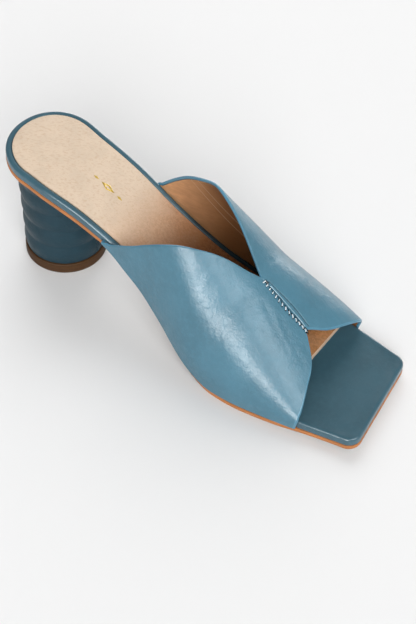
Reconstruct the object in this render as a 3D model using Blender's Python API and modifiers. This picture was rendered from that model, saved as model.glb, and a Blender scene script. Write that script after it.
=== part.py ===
"""A left foot's heeled mule: a folded leather vamp on a covered footbed, a thin sole and a round heel.

Metres, +Z up. The toe points to -Y and the inner side of the foot is at -X. The origin is
on the floor, under the middle of the shoe. Along the shoe, a station is the distance from
the back of the seat towards the toe.
"""
import math

import bmesh
import bpy
from mathutils import Vector

# Sole and footbed
LENGTH = 0.236
BALL_WIDTH = 0.0785
SEAT_WIDTH = 0.054
SEAT_ROUND = 0.0255
TOE_ANGLE = math.radians(7)
TOE_RADIUS = 0.0085
HEEL_RISE = 0.0672
TOE_SPRING = 0.0026
TOE_SPRING_POWER = 1.2
OUTSOLE_THICKNESS = 0.0025
OUTSOLE_CHAMFER = 0.0005
FOOTBED_THICKNESS = 0.0046
RIM_RADIUS = 0.0016
RIM_WIDTH = 0.0033
RIM_BEVEL = 0.0005
SOCK_THICKNESS = 0.0009
SOCK_FRONT = 0.80

# Heel
HEEL_STATION = 0.0285
HEEL_FOOT_RADIUS = 0.0226
HEEL_HEAD_RADIUS = 0.0242
HEEL_WAIST = 0.0004
WAVE_COUNT = 5
WAVE_DEPTH = 0.0010
TOP_PIECE_HEIGHT = 0.0064
TOP_PIECE_CHAMFER = 0.0004

# Upper
UPPER_WALL = 0.0016
INSTEP_HEIGHT = 0.048
OUTER_FULLNESS = 0.0012
CROWN_SHIFT = 0.0008
MARGIN_WIDTH = 0.007
FOLD_RADIUS = 0.0008
WELT_START = 0.0006
WELT_WIDTH = 0.0032
WELT_HEIGHT = 0.0008
WELT_SLOPE = 0.0004
WELT_ENDS = (0.10, 0.95)

# Room between pieces that are glued together
CLEARANCE = 0.0003

# Half widths are shares of BALL_WIDTH, and the overhang is a share of UPPER_WALL:
# how far the outsole's edge stands out past the footbed's
FOOTBED_SECTIONS = (
    {"station": 0.170, "inner": 0.348, "outer": 0.326, "overhang": 0.10},
    {"station": 0.275, "inner": 0.313, "outer": 0.324, "overhang": 0.10},
    {"station": 0.380, "inner": 0.297, "outer": 0.326, "overhang": -0.70},
    {"station": 0.487, "inner": 0.382, "outer": 0.372, "overhang": -0.80},
    {"station": 0.593, "inner": 0.483, "outer": 0.464, "overhang": 0.30},
    {"station": 0.700, "inner": 0.507, "outer": 0.492, "overhang": 1.00},
    {"station": 0.805, "inner": 0.478, "outer": 0.485, "overhang": 1.00},
    {"station": 0.900, "inner": 0.437, "outer": 0.441, "overhang": 0.10},
    {"station": 1.000, "inner": 0.387, "outer": 0.382, "overhang": 0.10},
)

# Height of the sole's underside behind the ball, as shares of HEEL_RISE
SHANK_SECTIONS = (
    {"station": 0.000, "rise": 1.000},
    {"station": 0.110, "rise": 0.952},
    {"station": 0.190, "rise": 0.885},
    {"station": 0.275, "rise": 0.762},
    {"station": 0.380, "rise": 0.552},
    {"station": 0.487, "rise": 0.314},
    {"station": 0.550, "rise": 0.172},
    {"station": 0.600, "rise": 0.073},
    {"station": 0.640, "rise": 0.014},
    {"station": 0.660, "rise": 0.000},
)
TREAD_BACK = 0.66
TREAD_FRONT = 0.70

# Crown of the upper above the footbed, as shares of INSTEP_HEIGHT. A roundness of 2 is an
# ellipse, and less is more pointed at the crown.
VAMP_SECTIONS = (
    {"station": 0.300, "crown": 1.67, "roundness": 1.80},
    {"station": 0.420, "crown": 1.49, "roundness": 1.88},
    {"station": 0.550, "crown": 1.28, "roundness": 1.98},
    {"station": 0.667, "crown": 1.00, "roundness": 2.06},
    {"station": 0.790, "crown": 0.56, "roundness": 2.14},
    {"station": 0.890, "crown": 0.13, "roundness": 2.18},
)

# Where the leather ends, as stations, on the way down from the seam: 0 is the crown, 1 the
# top of the footbed and 1.1 the sole
EDGE_SECTIONS = (
    {"down": 0.00, "inner_back": 0.667, "inner_front": 0.792, "outer_back": 0.667, "outer_front": 0.792},
    {"down": 0.15, "inner_back": 0.600, "inner_front": 0.835, "outer_back": 0.596, "outer_front": 0.820},
    {"down": 0.35, "inner_back": 0.542, "inner_front": 0.855, "outer_back": 0.514, "outer_front": 0.835},
    {"down": 0.60, "inner_back": 0.472, "inner_front": 0.869, "outer_back": 0.446, "outer_front": 0.843},
    {"down": 0.80, "inner_back": 0.410, "inner_front": 0.872, "outer_back": 0.377, "outer_front": 0.840},
    {"down": 1.00, "inner_back": 0.335, "inner_front": 0.871, "outer_back": 0.318, "outer_front": 0.834},
    {"down": 1.10, "inner_back": 0.315, "inner_front": 0.868, "outer_back": 0.305, "outer_front": 0.830},
)
SOLE_DOWN = 1.10

# Steps of the meshes
SEAT_STEPS = 9
SHANK_STEPS = 24
TREAD_STEPS = 2
TOE_STEPS = 10
CORNER_STEPS = 6
RIM_STEPS = 3
UPPER_ROWS = 24
MARGIN_ROWS = 48
ARCH_STEPS = 17
HEEL_STEPS = 44
WAVE_STEPS = 7

INNER, OUTER = -1, 1


def ease(rows, column, place, key="station", level_start=False):
    """Smooth value of a table's column at a place between its rows, straight on past its ends."""
    places = [row[key] for row in rows]
    values = [row[column] for row in rows]
    last = len(rows) - 1
    slopes = []
    for i in range(last + 1):
        low, high = max(i - 1, 0), min(i + 1, last)
        slopes.append((values[high] - values[low]) / (places[high] - places[low]))
    if level_start:
        slopes[0] = 0.0
    if place <= places[0]:
        return values[0] + slopes[0] * (place - places[0])
    if place >= places[last]:
        return values[last] + slopes[last] * (place - places[last])
    i = max(k for k in range(last) if places[k] <= place)
    span = places[i + 1] - places[i]
    s = (place - places[i]) / span
    start = (2 * s ** 3 - 3 * s ** 2 + 1) * values[i] + (s ** 3 - 2 * s ** 2 + s) * span * slopes[i]
    end = (3 * s ** 2 - 2 * s ** 3) * values[i + 1] + (s ** 3 - s ** 2) * span * slopes[i + 1]
    return start + end


def half_width(side, station):
    """Footbed's edge from the centre line, past the rounded back of the seat."""
    seat = {"station": SEAT_ROUND / LENGTH, "inner": SEAT_WIDTH / 2 / BALL_WIDTH,
            "outer": SEAT_WIDTH / 2 / BALL_WIDTH}
    column = "inner" if side == INNER else "outer"
    return BALL_WIDTH * ease((seat,) + FOOTBED_SECTIONS, column, station / LENGTH, level_start=True)


def overhang(station):
    """How far the outsole stands out past the footbed's edge."""
    return UPPER_WALL * ease(FOOTBED_SECTIONS, "overhang", station / LENGTH)


def underside(station):
    """Height of the sole's underside above the floor."""
    share = station / LENGTH
    if share < TREAD_BACK:
        return HEEL_RISE * ease(SHANK_SECTIONS, "rise", max(share, 0.0), level_start=True)
    ahead = max(share - TREAD_FRONT, 0.0) / (1.0 - TREAD_FRONT)
    return TOE_SPRING * ahead ** TOE_SPRING_POWER


def footbed_base(station):
    return underside(station) + OUTSOLE_THICKNESS + CLEARANCE


def footbed_top(station):
    return footbed_base(station) + FOOTBED_THICKNESS


def stretch(station):
    """Upright height of a layer that is 1 thick across the slope of the sole."""
    reach = LENGTH / 400
    slope = (underside(station + reach) - underside(station - reach)) / (2 * reach)
    return math.hypot(1.0, slope)


def side_direction(side, station):
    """Level direction that points out of the footbed's edge, as x and station."""
    reach = LENGTH / 400
    slope = (half_width(side, station + reach) - half_width(side, station - reach)) / (2 * reach)
    size = math.hypot(1.0, slope)
    return side / size, -slope / size


def corner_centre(side):
    """Centre of a toe corner's round, touching the side and the slanted end of the toe."""
    station = LENGTH - TOE_RADIUS
    inner_x = -(half_width(INNER, station) - TOE_RADIUS)
    if side == INNER:
        return inner_x, station
    outer_x = half_width(OUTER, station) - TOE_RADIUS
    station -= math.tan(TOE_ANGLE) * (outer_x - inner_x)
    return half_width(OUTER, station) - TOE_RADIUS, station


def spread(start, end, steps):
    return [start + (end - start) * i / steps for i in range(steps)]


def edge(side, front=None):
    """Points of one side of the footbed's edge, from the seat to the toe or to a straight front.

    Each is x, station and the level direction that points outwards.
    """
    points = []
    for i in range(1, SEAT_STEPS):
        angle = math.pi / 2 * i / SEAT_STEPS
        across, back = math.sin(angle), math.cos(angle)
        outwards = Vector((side * across * SEAT_ROUND, -back * SEAT_WIDTH / 2)).normalized()
        points.append((side * SEAT_WIDTH / 2 * across, SEAT_ROUND * (1 - back), *outwards))
    corner_x, corner_station = corner_centre(side)
    end = front if front else corner_station
    tread_back, tread_front = TREAD_BACK * LENGTH, TREAD_FRONT * LENGTH
    stations = spread(SEAT_ROUND, tread_back, SHANK_STEPS) + spread(tread_back, tread_front, TREAD_STEPS)
    stations += spread(tread_front, end, TOE_STEPS)
    if front:
        stations.append(front)
    for station in stations:
        points.append((side * half_width(side, station), station, *side_direction(side, station)))
    if front:
        return points
    first = math.atan2(*reversed(side_direction(side, corner_station)))
    last = math.pi / 2 - TOE_ANGLE
    if side == INNER:
        first %= 2 * math.pi
    for i in range(CORNER_STEPS + 1):
        angle = first + (last - first) * i / CORNER_STEPS
        out_x, out_station = math.cos(angle), math.sin(angle)
        points.append((corner_x + TOE_RADIUS * out_x, corner_station + TOE_RADIUS * out_station,
                       out_x, out_station))
    return points


def ring(inset, lift, base, stand_out=None, front=None):
    """Closed line round the sole: inset from the footbed's edge and lifted above a base height."""
    back = [(0.0, 0.0, 0.0, -1.0)]
    line = []
    for x, station, out_x, out_station in back + edge(INNER, front) + edge(OUTER, front)[::-1]:
        offset = (stand_out(station) if stand_out else 0.0) - inset
        if front and station >= front:
            out_station = 0.0
        place = station + offset * out_station
        line.append(Vector((x + offset * out_x, -place, base(place) + lift)))
    return line


def solid(rings, crosswise_caps):
    """Mesh through closed lines of equal length, capped at both ends.

    A crosswise cap is a row of faces from side to side, which follows the sole's bend.
    """
    bm = bmesh.new()
    rows = [[bm.verts.new(point) for point in line] for line in rings]
    count = len(rows[0])
    for low, high in zip(rows, rows[1:]):
        for i in range(count):
            k = (i + 1) % count
            bm.faces.new((low[i], low[k], high[k], high[i]))
    for row in (rows[0][::-1], rows[-1]):
        if not crosswise_caps:
            bm.faces.new(row)
            continue
        if row is not rows[-1]:
            row = row[-1:] + row[:-1]
        bm.faces.new((row[0], row[1], row[-1]))
        for i in range(1, count // 2):
            bm.faces.new((row[i], row[i + 1], row[count - i - 1], row[count - i]))
    bmesh.ops.recalc_face_normals(bm, faces=bm.faces)
    mesh = bpy.data.meshes.new("solid")
    bm.to_mesh(mesh)
    bm.free()
    return mesh


def add_object(name, mesh, collection, root):
    mesh.name = name
    piece = bpy.data.objects.new(name, mesh)
    collection.objects.link(piece)
    piece.parent = root
    return piece


def cut_away(piece, cutter):
    """Takes a hidden form away from a piece."""
    cutter.hide_render = True
    cutter.display_type = "WIRE"
    cut = piece.modifiers.new("Cut", "BOOLEAN")
    cut.operation = "DIFFERENCE"
    cut.solver = "EXACT"
    cut.object = cutter


def finish(piece, colour, roughness, smooth_angle=40):
    """Gives a piece its own material, and smooth shading between its sharp edges."""
    material = bpy.data.materials.new(piece.name)
    material.use_nodes = True
    shader = material.node_tree.nodes["Principled BSDF"]
    shader.inputs["Base Color"].default_value = (*colour, 1.0)
    shader.inputs["Roughness"].default_value = roughness
    shader.inputs["Metallic"].default_value = 0.0
    piece.data.materials.append(material)
    piece.data.shade_smooth()
    piece.data.set_sharp_from_angle(angle=math.radians(smooth_angle))


def make_outsole(pieces, root):
    """Thin leather sole, bent from the seat down to the tread."""
    rows = (
        {"inset": OUTSOLE_CHAMFER, "lift": 0.0},
        {"inset": 0.0, "lift": OUTSOLE_CHAMFER},
        {"inset": 0.0, "lift": OUTSOLE_THICKNESS},
    )
    rings = [ring(row["inset"], row["lift"], underside, stand_out=overhang) for row in rows]
    outsole = add_object("outsole", solid(rings, True), pieces, root)
    finish(outsole, (0.52, 0.19, 0.05), 0.55)


def make_sock(pieces, root):
    """Tan lining that lies in the footbed, cut straight across before the toes."""
    inset = RIM_WIDTH + CLEARANCE
    front = SOCK_FRONT * LENGTH
    rings = [ring(inset, lift, footbed_top, front=front) for lift in (-SOCK_THICKNESS, 0.0)]
    sock = add_object("sock", solid(rings, True), pieces, root)
    finish(sock, (0.76, 0.60, 0.45), 0.7)
    return sock


def sock_recess(cutters, root):
    """Room for the sock, a clearance wider and deeper, with a bevel along the rim."""
    front = SOCK_FRONT * LENGTH + CLEARANCE
    rows = (
        {"inset": RIM_WIDTH, "lift": -SOCK_THICKNESS - CLEARANCE},
        {"inset": RIM_WIDTH, "lift": -RIM_BEVEL},
        {"inset": RIM_WIDTH - RIM_BEVEL, "lift": 0.0},
        {"inset": RIM_WIDTH - RIM_BEVEL, "lift": FOOTBED_THICKNESS},
    )
    rings = [ring(row["inset"], row["lift"], footbed_top, front=front) for row in rows]
    return add_object("sock_recess", solid(rings, True), cutters, root)


def margin_room(side, cutters, root):
    """Room under one side of the footbed for the upper's turned-in margin."""
    column = "inner" if side == INNER else "outer"
    back = EDGE_SECTIONS[-1][column + "_back"] * LENGTH - CLEARANCE
    front = EDGE_SECTIONS[-1][column + "_front"] * LENGTH + CLEARANCE
    outside, inside = -2 * UPPER_WALL, MARGIN_WIDTH + UPPER_WALL
    rings = []
    for station in spread(back, front, MARGIN_ROWS) + [front]:
        low = -OUTSOLE_THICKNESS
        high = UPPER_WALL * stretch(station) + CLEARANCE
        corners = ((outside, low), (inside, low), (inside, high), (outside, high))
        rings.append([foot_point(side, station, inset, lift) for inset, lift in corners])
    return add_object("margin_room_" + column, solid(rings, False), cutters, root)


def make_footbed(pieces, cutters, root):
    """Leather-covered board with a rounded rim, hollowed for the sock and for the upper's margin."""
    rows = [{"inset": 0.0, "lift": 0.0}]
    for i in range(RIM_STEPS + 1):
        angle = math.pi / 2 * i / RIM_STEPS
        rows.append({"inset": RIM_RADIUS * (1 - math.cos(angle)),
                     "lift": FOOTBED_THICKNESS - RIM_RADIUS * (1 - math.sin(angle))})
    rings = [ring(row["inset"], row["lift"], footbed_base) for row in rows]
    footbed = add_object("footbed", solid(rings, True), pieces, root)
    cut_away(footbed, sock_recess(cutters, root))
    cut_away(footbed, margin_room(INNER, cutters, root))
    cut_away(footbed, margin_room(OUTER, cutters, root))
    finish(footbed, (0.075, 0.175, 0.235), 0.38)


def heel_radius(height, low, high):
    """Radius of the heel at a height: a slim column with soft rings of leather round it."""
    share = (height - low) / (high - low)
    plain = HEEL_FOOT_RADIUS + (HEEL_HEAD_RADIUS - HEEL_FOOT_RADIUS) * share
    waist = HEEL_WAIST * 4 * share * (1 - share)
    return plain - waist + WAVE_DEPTH * (abs(math.sin(math.pi * WAVE_COUNT * share)) - 1)


def make_heel(pieces, cutters, root):
    """Turned column with wave rings, cut to the slope of the sole above it."""
    low = TOP_PIECE_HEIGHT + CLEARANCE
    high = HEEL_RISE
    count = WAVE_COUNT * WAVE_STEPS
    heights = [high - (high - low) * i / count for i in range(count + 1)]
    profile = [Vector((0.0, 0.0, high + OUTSOLE_THICKNESS))]
    profile.append(Vector((heel_radius(high, low, high), 0.0, high + OUTSOLE_THICKNESS)))
    profile += [Vector((heel_radius(height, low, high), 0.0, height)) for height in heights]
    profile.append(Vector((0.0, 0.0, low)))
    mesh = bpy.data.meshes.new("heel")
    mesh.from_pydata(profile, [(i, i + 1) for i in range(len(profile) - 1)], [])
    heel = add_object("heel", mesh, pieces, root)
    heel.location = (0.0, -HEEL_STATION, 0.0)
    screw = heel.modifiers.new("Turn", "SCREW")
    screw.steps = HEEL_STEPS
    screw.render_steps = HEEL_STEPS
    screw.use_merge_vertices = True
    screw.merge_threshold = 0.00001
    cut_away(heel, sole_space(cutters, root))
    finish(heel, (0.05, 0.13, 0.18), 0.4, smooth_angle=60)


def sole_space(cutters, root):
    """Everything above the sole's underside over the heel, down to a clearance below it."""
    reach = 2 * HEEL_HEAD_RADIUS
    high = HEEL_RISE + reach
    rings = []
    for station in spread(HEEL_STATION - reach, HEEL_STATION + reach, SHANK_STEPS):
        low = underside(station) - CLEARANCE
        corners = ((-reach, low), (reach, low), (reach, high), (-reach, high))
        rings.append([Vector((x, -station, z)) for x, z in corners])
    return add_object("sole_space", solid(rings, False), cutters, root)


def make_top_piece(pieces, root):
    """Stacked leather tip under the heel."""
    bm = bmesh.new()
    bmesh.ops.create_cone(bm, cap_ends=True, segments=HEEL_STEPS, radius1=HEEL_FOOT_RADIUS,
                          radius2=HEEL_FOOT_RADIUS, depth=TOP_PIECE_HEIGHT)
    mesh = bpy.data.meshes.new("top_piece")
    bm.to_mesh(mesh)
    bm.free()
    top_piece = add_object("top_piece", mesh, pieces, root)
    top_piece.location = (0.0, -HEEL_STATION, TOP_PIECE_HEIGHT / 2)
    chamfer = top_piece.modifiers.new("Chamfer", "BEVEL")
    chamfer.width = TOP_PIECE_CHAMFER
    chamfer.segments = 1
    chamfer.limit_method = "ANGLE"
    chamfer.angle_limit = math.radians(60)
    finish(top_piece, (0.07, 0.025, 0.01), 0.6)


def arch_point(side, station, down):
    """Outer face of the upper: down runs from 0 at the crown to 1 at the footbed's top."""
    share = station / LENGTH
    rise = INSTEP_HEIGHT * ease(VAMP_SECTIONS, "crown", share)
    power = 2.0 / ease(VAMP_SECTIONS, "roundness", share)
    angle = math.pi / 2 * (1.0 - down)
    crown_x = -CROWN_SHIFT
    out_x, out_station = side_direction(side, station)
    stand_out = UPPER_WALL + CLEARANCE
    foot_x = side * half_width(side, station) + stand_out * out_x
    across = math.cos(angle) ** power if down > 0 else 0.0
    x = crown_x + (foot_x - crown_x) * across
    if side == OUTER:
        x += OUTER_FULLNESS * math.sin(2 * angle)
    up = math.sin(angle) ** power if down < 1 else 0.0
    place = station + stand_out * out_station * across
    return Vector((x, -place, footbed_top(place) + rise * up))


def foot_point(side, station, inset, lift):
    """Outer face of the upper below the footbed's top, and of the margin turned in under it."""
    out_x, out_station = side_direction(side, station)
    x = side * half_width(side, station) - inset * out_x
    place = station - inset * out_station
    return Vector((x, -place, footbed_base(place) + lift))


def down_at(station, side, distance):
    """How far down the arch a point lies at a level distance from the seam."""
    power = 2.0 / ease(VAMP_SECTIONS, "roundness", station / LENGTH)
    width = half_width(side, station) + UPPER_WALL + CLEARANCE
    return math.asin((distance / width) ** (1.0 / power)) * 2 / math.pi


def leather_end(side, end, down):
    column = ("inner_" if side == INNER else "outer_") + end
    return LENGTH * ease(EDGE_SECTIONS, column, min(down, SOLE_DOWN), key="down")


def leather_station(side, along, down):
    """Station at a share of the way from the collar to the front."""
    return leather_end(side, "back", down) * (1 - along) + leather_end(side, "front", down) * along


def upper_line(side, along):
    """Points of the outer face from the seam down one side to the end of the margin.

    Along is the share of the way from the collar to the front. Each point has the share of the
    welt's height that it is raised by.
    """
    seam_station = leather_station(side, along, 0.0)
    welt_lines = (
        {"distance": WELT_START, "raised": 0.0},
        {"distance": WELT_START + WELT_SLOPE, "raised": 1.0},
        {"distance": WELT_START + WELT_WIDTH - WELT_SLOPE, "raised": 1.0},
        {"distance": WELT_START + WELT_WIDTH, "raised": 0.0},
    )
    downs = [(0.0, 0.0)]
    for line in welt_lines:
        raised = line["raised"] if side == OUTER and WELT_ENDS[0] <= along <= WELT_ENDS[1] else 0.0
        downs.append((down_at(seam_station, side, line["distance"]), raised))
    first = downs[-1][0]
    downs += [(first + (1.0 - first) * (i + 1) / ARCH_STEPS, 0.0) for i in range(ARCH_STEPS)]
    line = []
    for down, raised in downs:
        line.append((arch_point(side, leather_station(side, along, down), down), raised))
    station = leather_station(side, along, SOLE_DOWN)
    outside = -(UPPER_WALL + CLEARANCE)
    for inset, lift in ((outside, FOLD_RADIUS), (outside + FOLD_RADIUS, 0.0), (MARGIN_WIDTH, 0.0)):
        line.append((foot_point(side, station, inset, lift), 0.0))
    return line


def make_upper(pieces, root):
    """Leather vamp in one wall: two flaps that meet at a short seam with a raised welt."""
    rows = []
    for i in range(UPPER_ROWS + 1):
        along = i / UPPER_ROWS
        rows.append(upper_line(INNER, along)[::-1] + upper_line(OUTER, along)[1:])
    bm = bmesh.new()
    layer = bm.verts.layers.deform.new()
    plain = UPPER_WALL / (UPPER_WALL + WELT_HEIGHT)
    grid = []
    for row in rows:
        line = []
        for point, raised in row:
            vertex = bm.verts.new(point + Vector((0.0, 0.0, WELT_HEIGHT * raised)))
            vertex[layer][0] = plain + (1.0 - plain) * raised
            line.append(vertex)
        grid.append(line)
    for low, high in zip(grid, grid[1:]):
        for i in range(len(low) - 1):
            bm.faces.new((low[i], high[i], high[i + 1], low[i + 1]))
    mesh = bpy.data.meshes.new("upper")
    bm.to_mesh(mesh)
    bm.free()
    upper = add_object("upper", mesh, pieces, root)
    upper.vertex_groups.new(name="wall")
    wall = upper.modifiers.new("Wall", "SOLIDIFY")
    wall.thickness = UPPER_WALL + WELT_HEIGHT
    wall.offset = -1.0
    wall.vertex_group = "wall"
    finish(upper, (0.08, 0.19, 0.26), 0.35)


def centre_on_floor(root, pieces):
    """Moves the shoe so that the origin is on the floor under its middle."""
    bpy.context.view_layer.update()
    view = bpy.context.evaluated_depsgraph_get()
    corners = []
    for piece in pieces.objects:
        if piece.type == "MESH":
            seen = piece.evaluated_get(view)
            corners += [seen.matrix_world @ Vector(corner) for corner in seen.bound_box]
    for axis in (0, 1):
        low = min(corner[axis] for corner in corners)
        high = max(corner[axis] for corner in corners)
        root.location[axis] -= (low + high) / 2


def main():
    for old in list(bpy.data.objects):
        bpy.data.objects.remove(old, do_unlink=True)
    pieces = bpy.data.collections.new("heeled_mule")
    cutters = bpy.data.collections.new("cutters")
    bpy.context.scene.collection.children.link(pieces)
    bpy.context.scene.collection.children.link(cutters)
    root = bpy.data.objects.new("heeled_mule_origin", None)
    pieces.objects.link(root)
    make_top_piece(pieces, root)
    make_heel(pieces, cutters, root)
    make_outsole(pieces, root)
    make_footbed(pieces, cutters, root)
    make_sock(pieces, root)
    make_upper(pieces, root)
    centre_on_floor(root, pieces)


main()
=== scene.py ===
"""Finish of a left foot's heeled mule: folded blue vamp, covered footbed, tan sock and a round heel.

Metres, +Z up. The toe points to -Y and the inner side of the foot is at -X. Along the shoe, a
station is the distance from the back of the seat towards the toe.
"""

import math

import bmesh
import bpy
from bpy.props import FloatProperty, FloatVectorProperty, IntProperty
from mathutils import Matrix, Vector


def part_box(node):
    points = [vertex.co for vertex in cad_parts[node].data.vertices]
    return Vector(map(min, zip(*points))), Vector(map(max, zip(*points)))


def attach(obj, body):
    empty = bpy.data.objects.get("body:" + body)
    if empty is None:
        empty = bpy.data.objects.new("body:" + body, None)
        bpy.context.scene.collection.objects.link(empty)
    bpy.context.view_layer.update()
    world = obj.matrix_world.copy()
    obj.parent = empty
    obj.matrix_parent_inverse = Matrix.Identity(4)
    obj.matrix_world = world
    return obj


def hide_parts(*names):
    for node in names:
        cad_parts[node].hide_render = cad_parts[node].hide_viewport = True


bl_info = {
    "name": "Heeled Mule Finish",
    "version": (1, 0, 0),
    "blender": (4, 5, 0),
    "location": "3D View > Sidebar > Mule",
    "description": "Builds the leathers, seam, stitches and stage of a heeled mule",
    "category": "Object",
}

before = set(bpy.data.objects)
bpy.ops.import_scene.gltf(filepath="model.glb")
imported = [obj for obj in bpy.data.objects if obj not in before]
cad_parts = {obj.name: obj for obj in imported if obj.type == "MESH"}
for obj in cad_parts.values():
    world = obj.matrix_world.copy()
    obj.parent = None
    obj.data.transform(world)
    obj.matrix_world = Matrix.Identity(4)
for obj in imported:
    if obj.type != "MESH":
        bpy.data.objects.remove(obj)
SEAT_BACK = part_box("footbed")[1].y
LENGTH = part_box("footbed")[1].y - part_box("footbed")[0].y
MIDDLE = (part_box("heel")[0].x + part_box("heel")[1].x) / 2
HEEL_CENTRE_Y = (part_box("top_piece")[0].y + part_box("top_piece")[1].y) / 2
TOP_PIECE_RADIUS = (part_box("top_piece")[1].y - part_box("top_piece")[0].y) / 2
TOP_PIECE_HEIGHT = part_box("top_piece")[1].z
HEEL_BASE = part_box("heel")[0].z

# Sizes of the last and of the solids on it
BALL_WIDTH = 0.0785
SEAT_WIDTH = 0.054
SEAT_ROUND = 0.0255
TOE_ANGLE = math.radians(7)
TOE_RADIUS = 0.0068
HEEL_RISE = 0.0672
TOE_SPRING = 0.0026
TOE_SPRING_POWER = 1.2
OUTSOLE_THICKNESS = 0.0025
FOOTBED_THICKNESS = 0.0046
RIM_RADIUS = 0.0016
RIM_WIDTH = 0.0033
SOCK_THICKNESS = 0.0009
SOCK_FRONT = 0.80
SOCK_EDGE = 0.0006
# Places of two lighter diagonal lines across the lining
LIGHT_LINES = (0.1640, 0.1711)
UPPER_WALL = 0.0016
INSTEP_HEIGHT = 0.048
OUTER_FULLNESS = 0.0012
CROWN_SHIFT = 0.0008
MARGIN_WIDTH = 0.007
FOLD_RADIUS = 0.0008
CLEARANCE = 0.0003
GLUE = 0.00005
GAPE = 0.0016
GAPE_MIDDLE = 0.385
GAPE_REACH = 0.045
TREAD_BACK = 0.66
TREAD_FRONT = 0.70
SOLE_DOWN = 1.10



def table(columns, *rows):
    """Rows of a table, each by the names of its columns."""
    return [dict(zip(columns.split(), row)) for row in rows]


FOOTBED_SECTIONS = table(
    "station inner outer overhang",
    (0.170, 0.348, 0.326, 0.10),
    (0.275, 0.313, 0.324, 0.10),
    (0.380, 0.297, 0.326, -0.70),
    (0.487, 0.382, 0.372, -0.80),
    (0.593, 0.483, 0.464, 0.30),
    (0.700, 0.507, 0.492, 1.00),
    (0.805, 0.478, 0.485, 1.00),
    (0.900, 0.437, 0.441, 0.10),
    (1.000, 0.387, 0.382, 0.10),
)
SHANK_SECTIONS = table(
    "station rise",
    (0.000, 1.000),
    (0.110, 0.952),
    (0.190, 0.885),
    (0.275, 0.762),
    (0.380, 0.552),
    (0.487, 0.314),
    (0.550, 0.172),
    (0.600, 0.073),
    (0.640, 0.014),
    (0.660, 0.000),
)
VAMP_SECTIONS = table(
    "station crown roundness",
    (0.300, 1.67, 1.80),
    (0.420, 1.49, 1.88),
    (0.550, 1.28, 1.98),
    (0.667, 1.00, 2.06),
    (0.790, 0.56, 2.14),
    (0.890, 0.13, 2.18),
)
EDGE_SECTIONS = table(
    "down inner_back inner_front outer_back outer_front",
    (0.00, 0.667, 0.792, 0.667, 0.792),
    (0.15, 0.600, 0.835, 0.596, 0.820),
    (0.35, 0.542, 0.855, 0.514, 0.835),
    (0.60, 0.472, 0.869, 0.446, 0.843),
    (0.80, 0.410, 0.872, 0.377, 0.840),
    (1.00, 0.335, 0.871, 0.318, 0.834),
    (1.10, 0.315, 0.868, 0.305, 0.830),
)

# Soft ridges and troughs of the vamp, each between two points given as side, share of the way
# from collar to front, and share of the way down; height is above the plain form
CREASES = table(
    "side from to width height",
    (-1, (0.00, 0.56), (0.95, 0.70), 0.0090, 0.00012),
    (-1, (0.05, 0.40), (0.80, 0.52), 0.0065, -0.00010),
    (-1, (0.10, 0.27), (0.70, 0.38), 0.0055, 0.00008),
    (-1, (0.30, 0.17), (0.62, 0.30), 0.0026, -0.00015),
    (-1, (0.42, 0.13), (0.80, 0.26), 0.0024, -0.00016),
    (-1, (0.60, 0.12), (0.95, 0.24), 0.0026, -0.00012),
    (1, (0.10, 0.30), (0.80, 0.42), 0.0060, -0.00012),
    (1, (0.00, 0.62), (0.90, 0.70), 0.0070, 0.00012),
)

# Relief of the vamp beside its seam
WELT_AFTER_TACK = 0.0017
WELT_BEFORE_FRONT = 0.0018
GROOVE_DEPTH = 0.00085
GROOVE_WIDTH = 0.00026
ROW_DEPTH = 0.00010
PIT_DEPTH = 0.00032
RELIEF_REACH = 0.005

# Steps of the meshes
SEAT_STEPS = 32
SHANK_STEPS = 150
TOE_STEPS = 40
CORNER_STEPS = 14
RIM_STEPS = 8
VAMP_ROWS = 110
EDGE_ROWS = 6
EDGE_STEP = 0.0004
FOLD_ROWS = 2
SEAM_STEPS = 26
SEAM_STEP = 0.00018
ARCH_STEPS = 54
FOOT_STEPS = 4
BEND_STEPS = 3
MARGIN_STEPS = 2
EDGE_ROUND_STEPS = 5

INNER, OUTER = -1, 1
MM = 0.001


def ease(rows, column, place, key="station", level_start=False):
    """Smooth value of a table's column at a place between its rows, straight on past its ends."""
    places = [row[key] for row in rows]
    values = [row[column] for row in rows]
    last = len(rows) - 1
    slopes = []
    for i in range(last + 1):
        low, high = max(i - 1, 0), min(i + 1, last)
        slopes.append((values[high] - values[low]) / (places[high] - places[low]))
    if level_start:
        slopes[0] = 0.0
    if place <= places[0]:
        return values[0] + slopes[0] * (place - places[0])
    if place >= places[last]:
        return values[last] + slopes[last] * (place - places[last])
    i = max(k for k in range(last) if places[k] <= place)
    span = places[i + 1] - places[i]
    s = (place - places[i]) / span
    start = (2 * s ** 3 - 3 * s ** 2 + 1) * values[i] + (s ** 3 - 2 * s ** 2 + s) * span * slopes[i]
    end = (3 * s ** 2 - 2 * s ** 3) * values[i + 1] + (s ** 3 - s ** 2) * span * slopes[i + 1]
    return start + end


def smooth_step(value):
    value = min(max(value, 0.0), 1.0)
    return value * value * (3 - 2 * value)


def bell(value, width):
    return math.exp(-(value / width) ** 2)


def spread(start, end, steps):
    return [start + (end - start) * i / steps for i in range(steps)]


def half_width(side, station):
    """Footbed's edge from the centre line, past the rounded back of the seat."""
    seat = {"station": SEAT_ROUND / LENGTH, "inner": SEAT_WIDTH / 2 / BALL_WIDTH,
            "outer": SEAT_WIDTH / 2 / BALL_WIDTH}
    column = "inner" if side == INNER else "outer"
    return BALL_WIDTH * ease([seat] + FOOTBED_SECTIONS, column, station / LENGTH, level_start=True)


def overhang(side, station):
    """How far the outsole stands out past the footbed's edge."""
    return UPPER_WALL * ease(FOOTBED_SECTIONS, "overhang", station / LENGTH)


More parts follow.
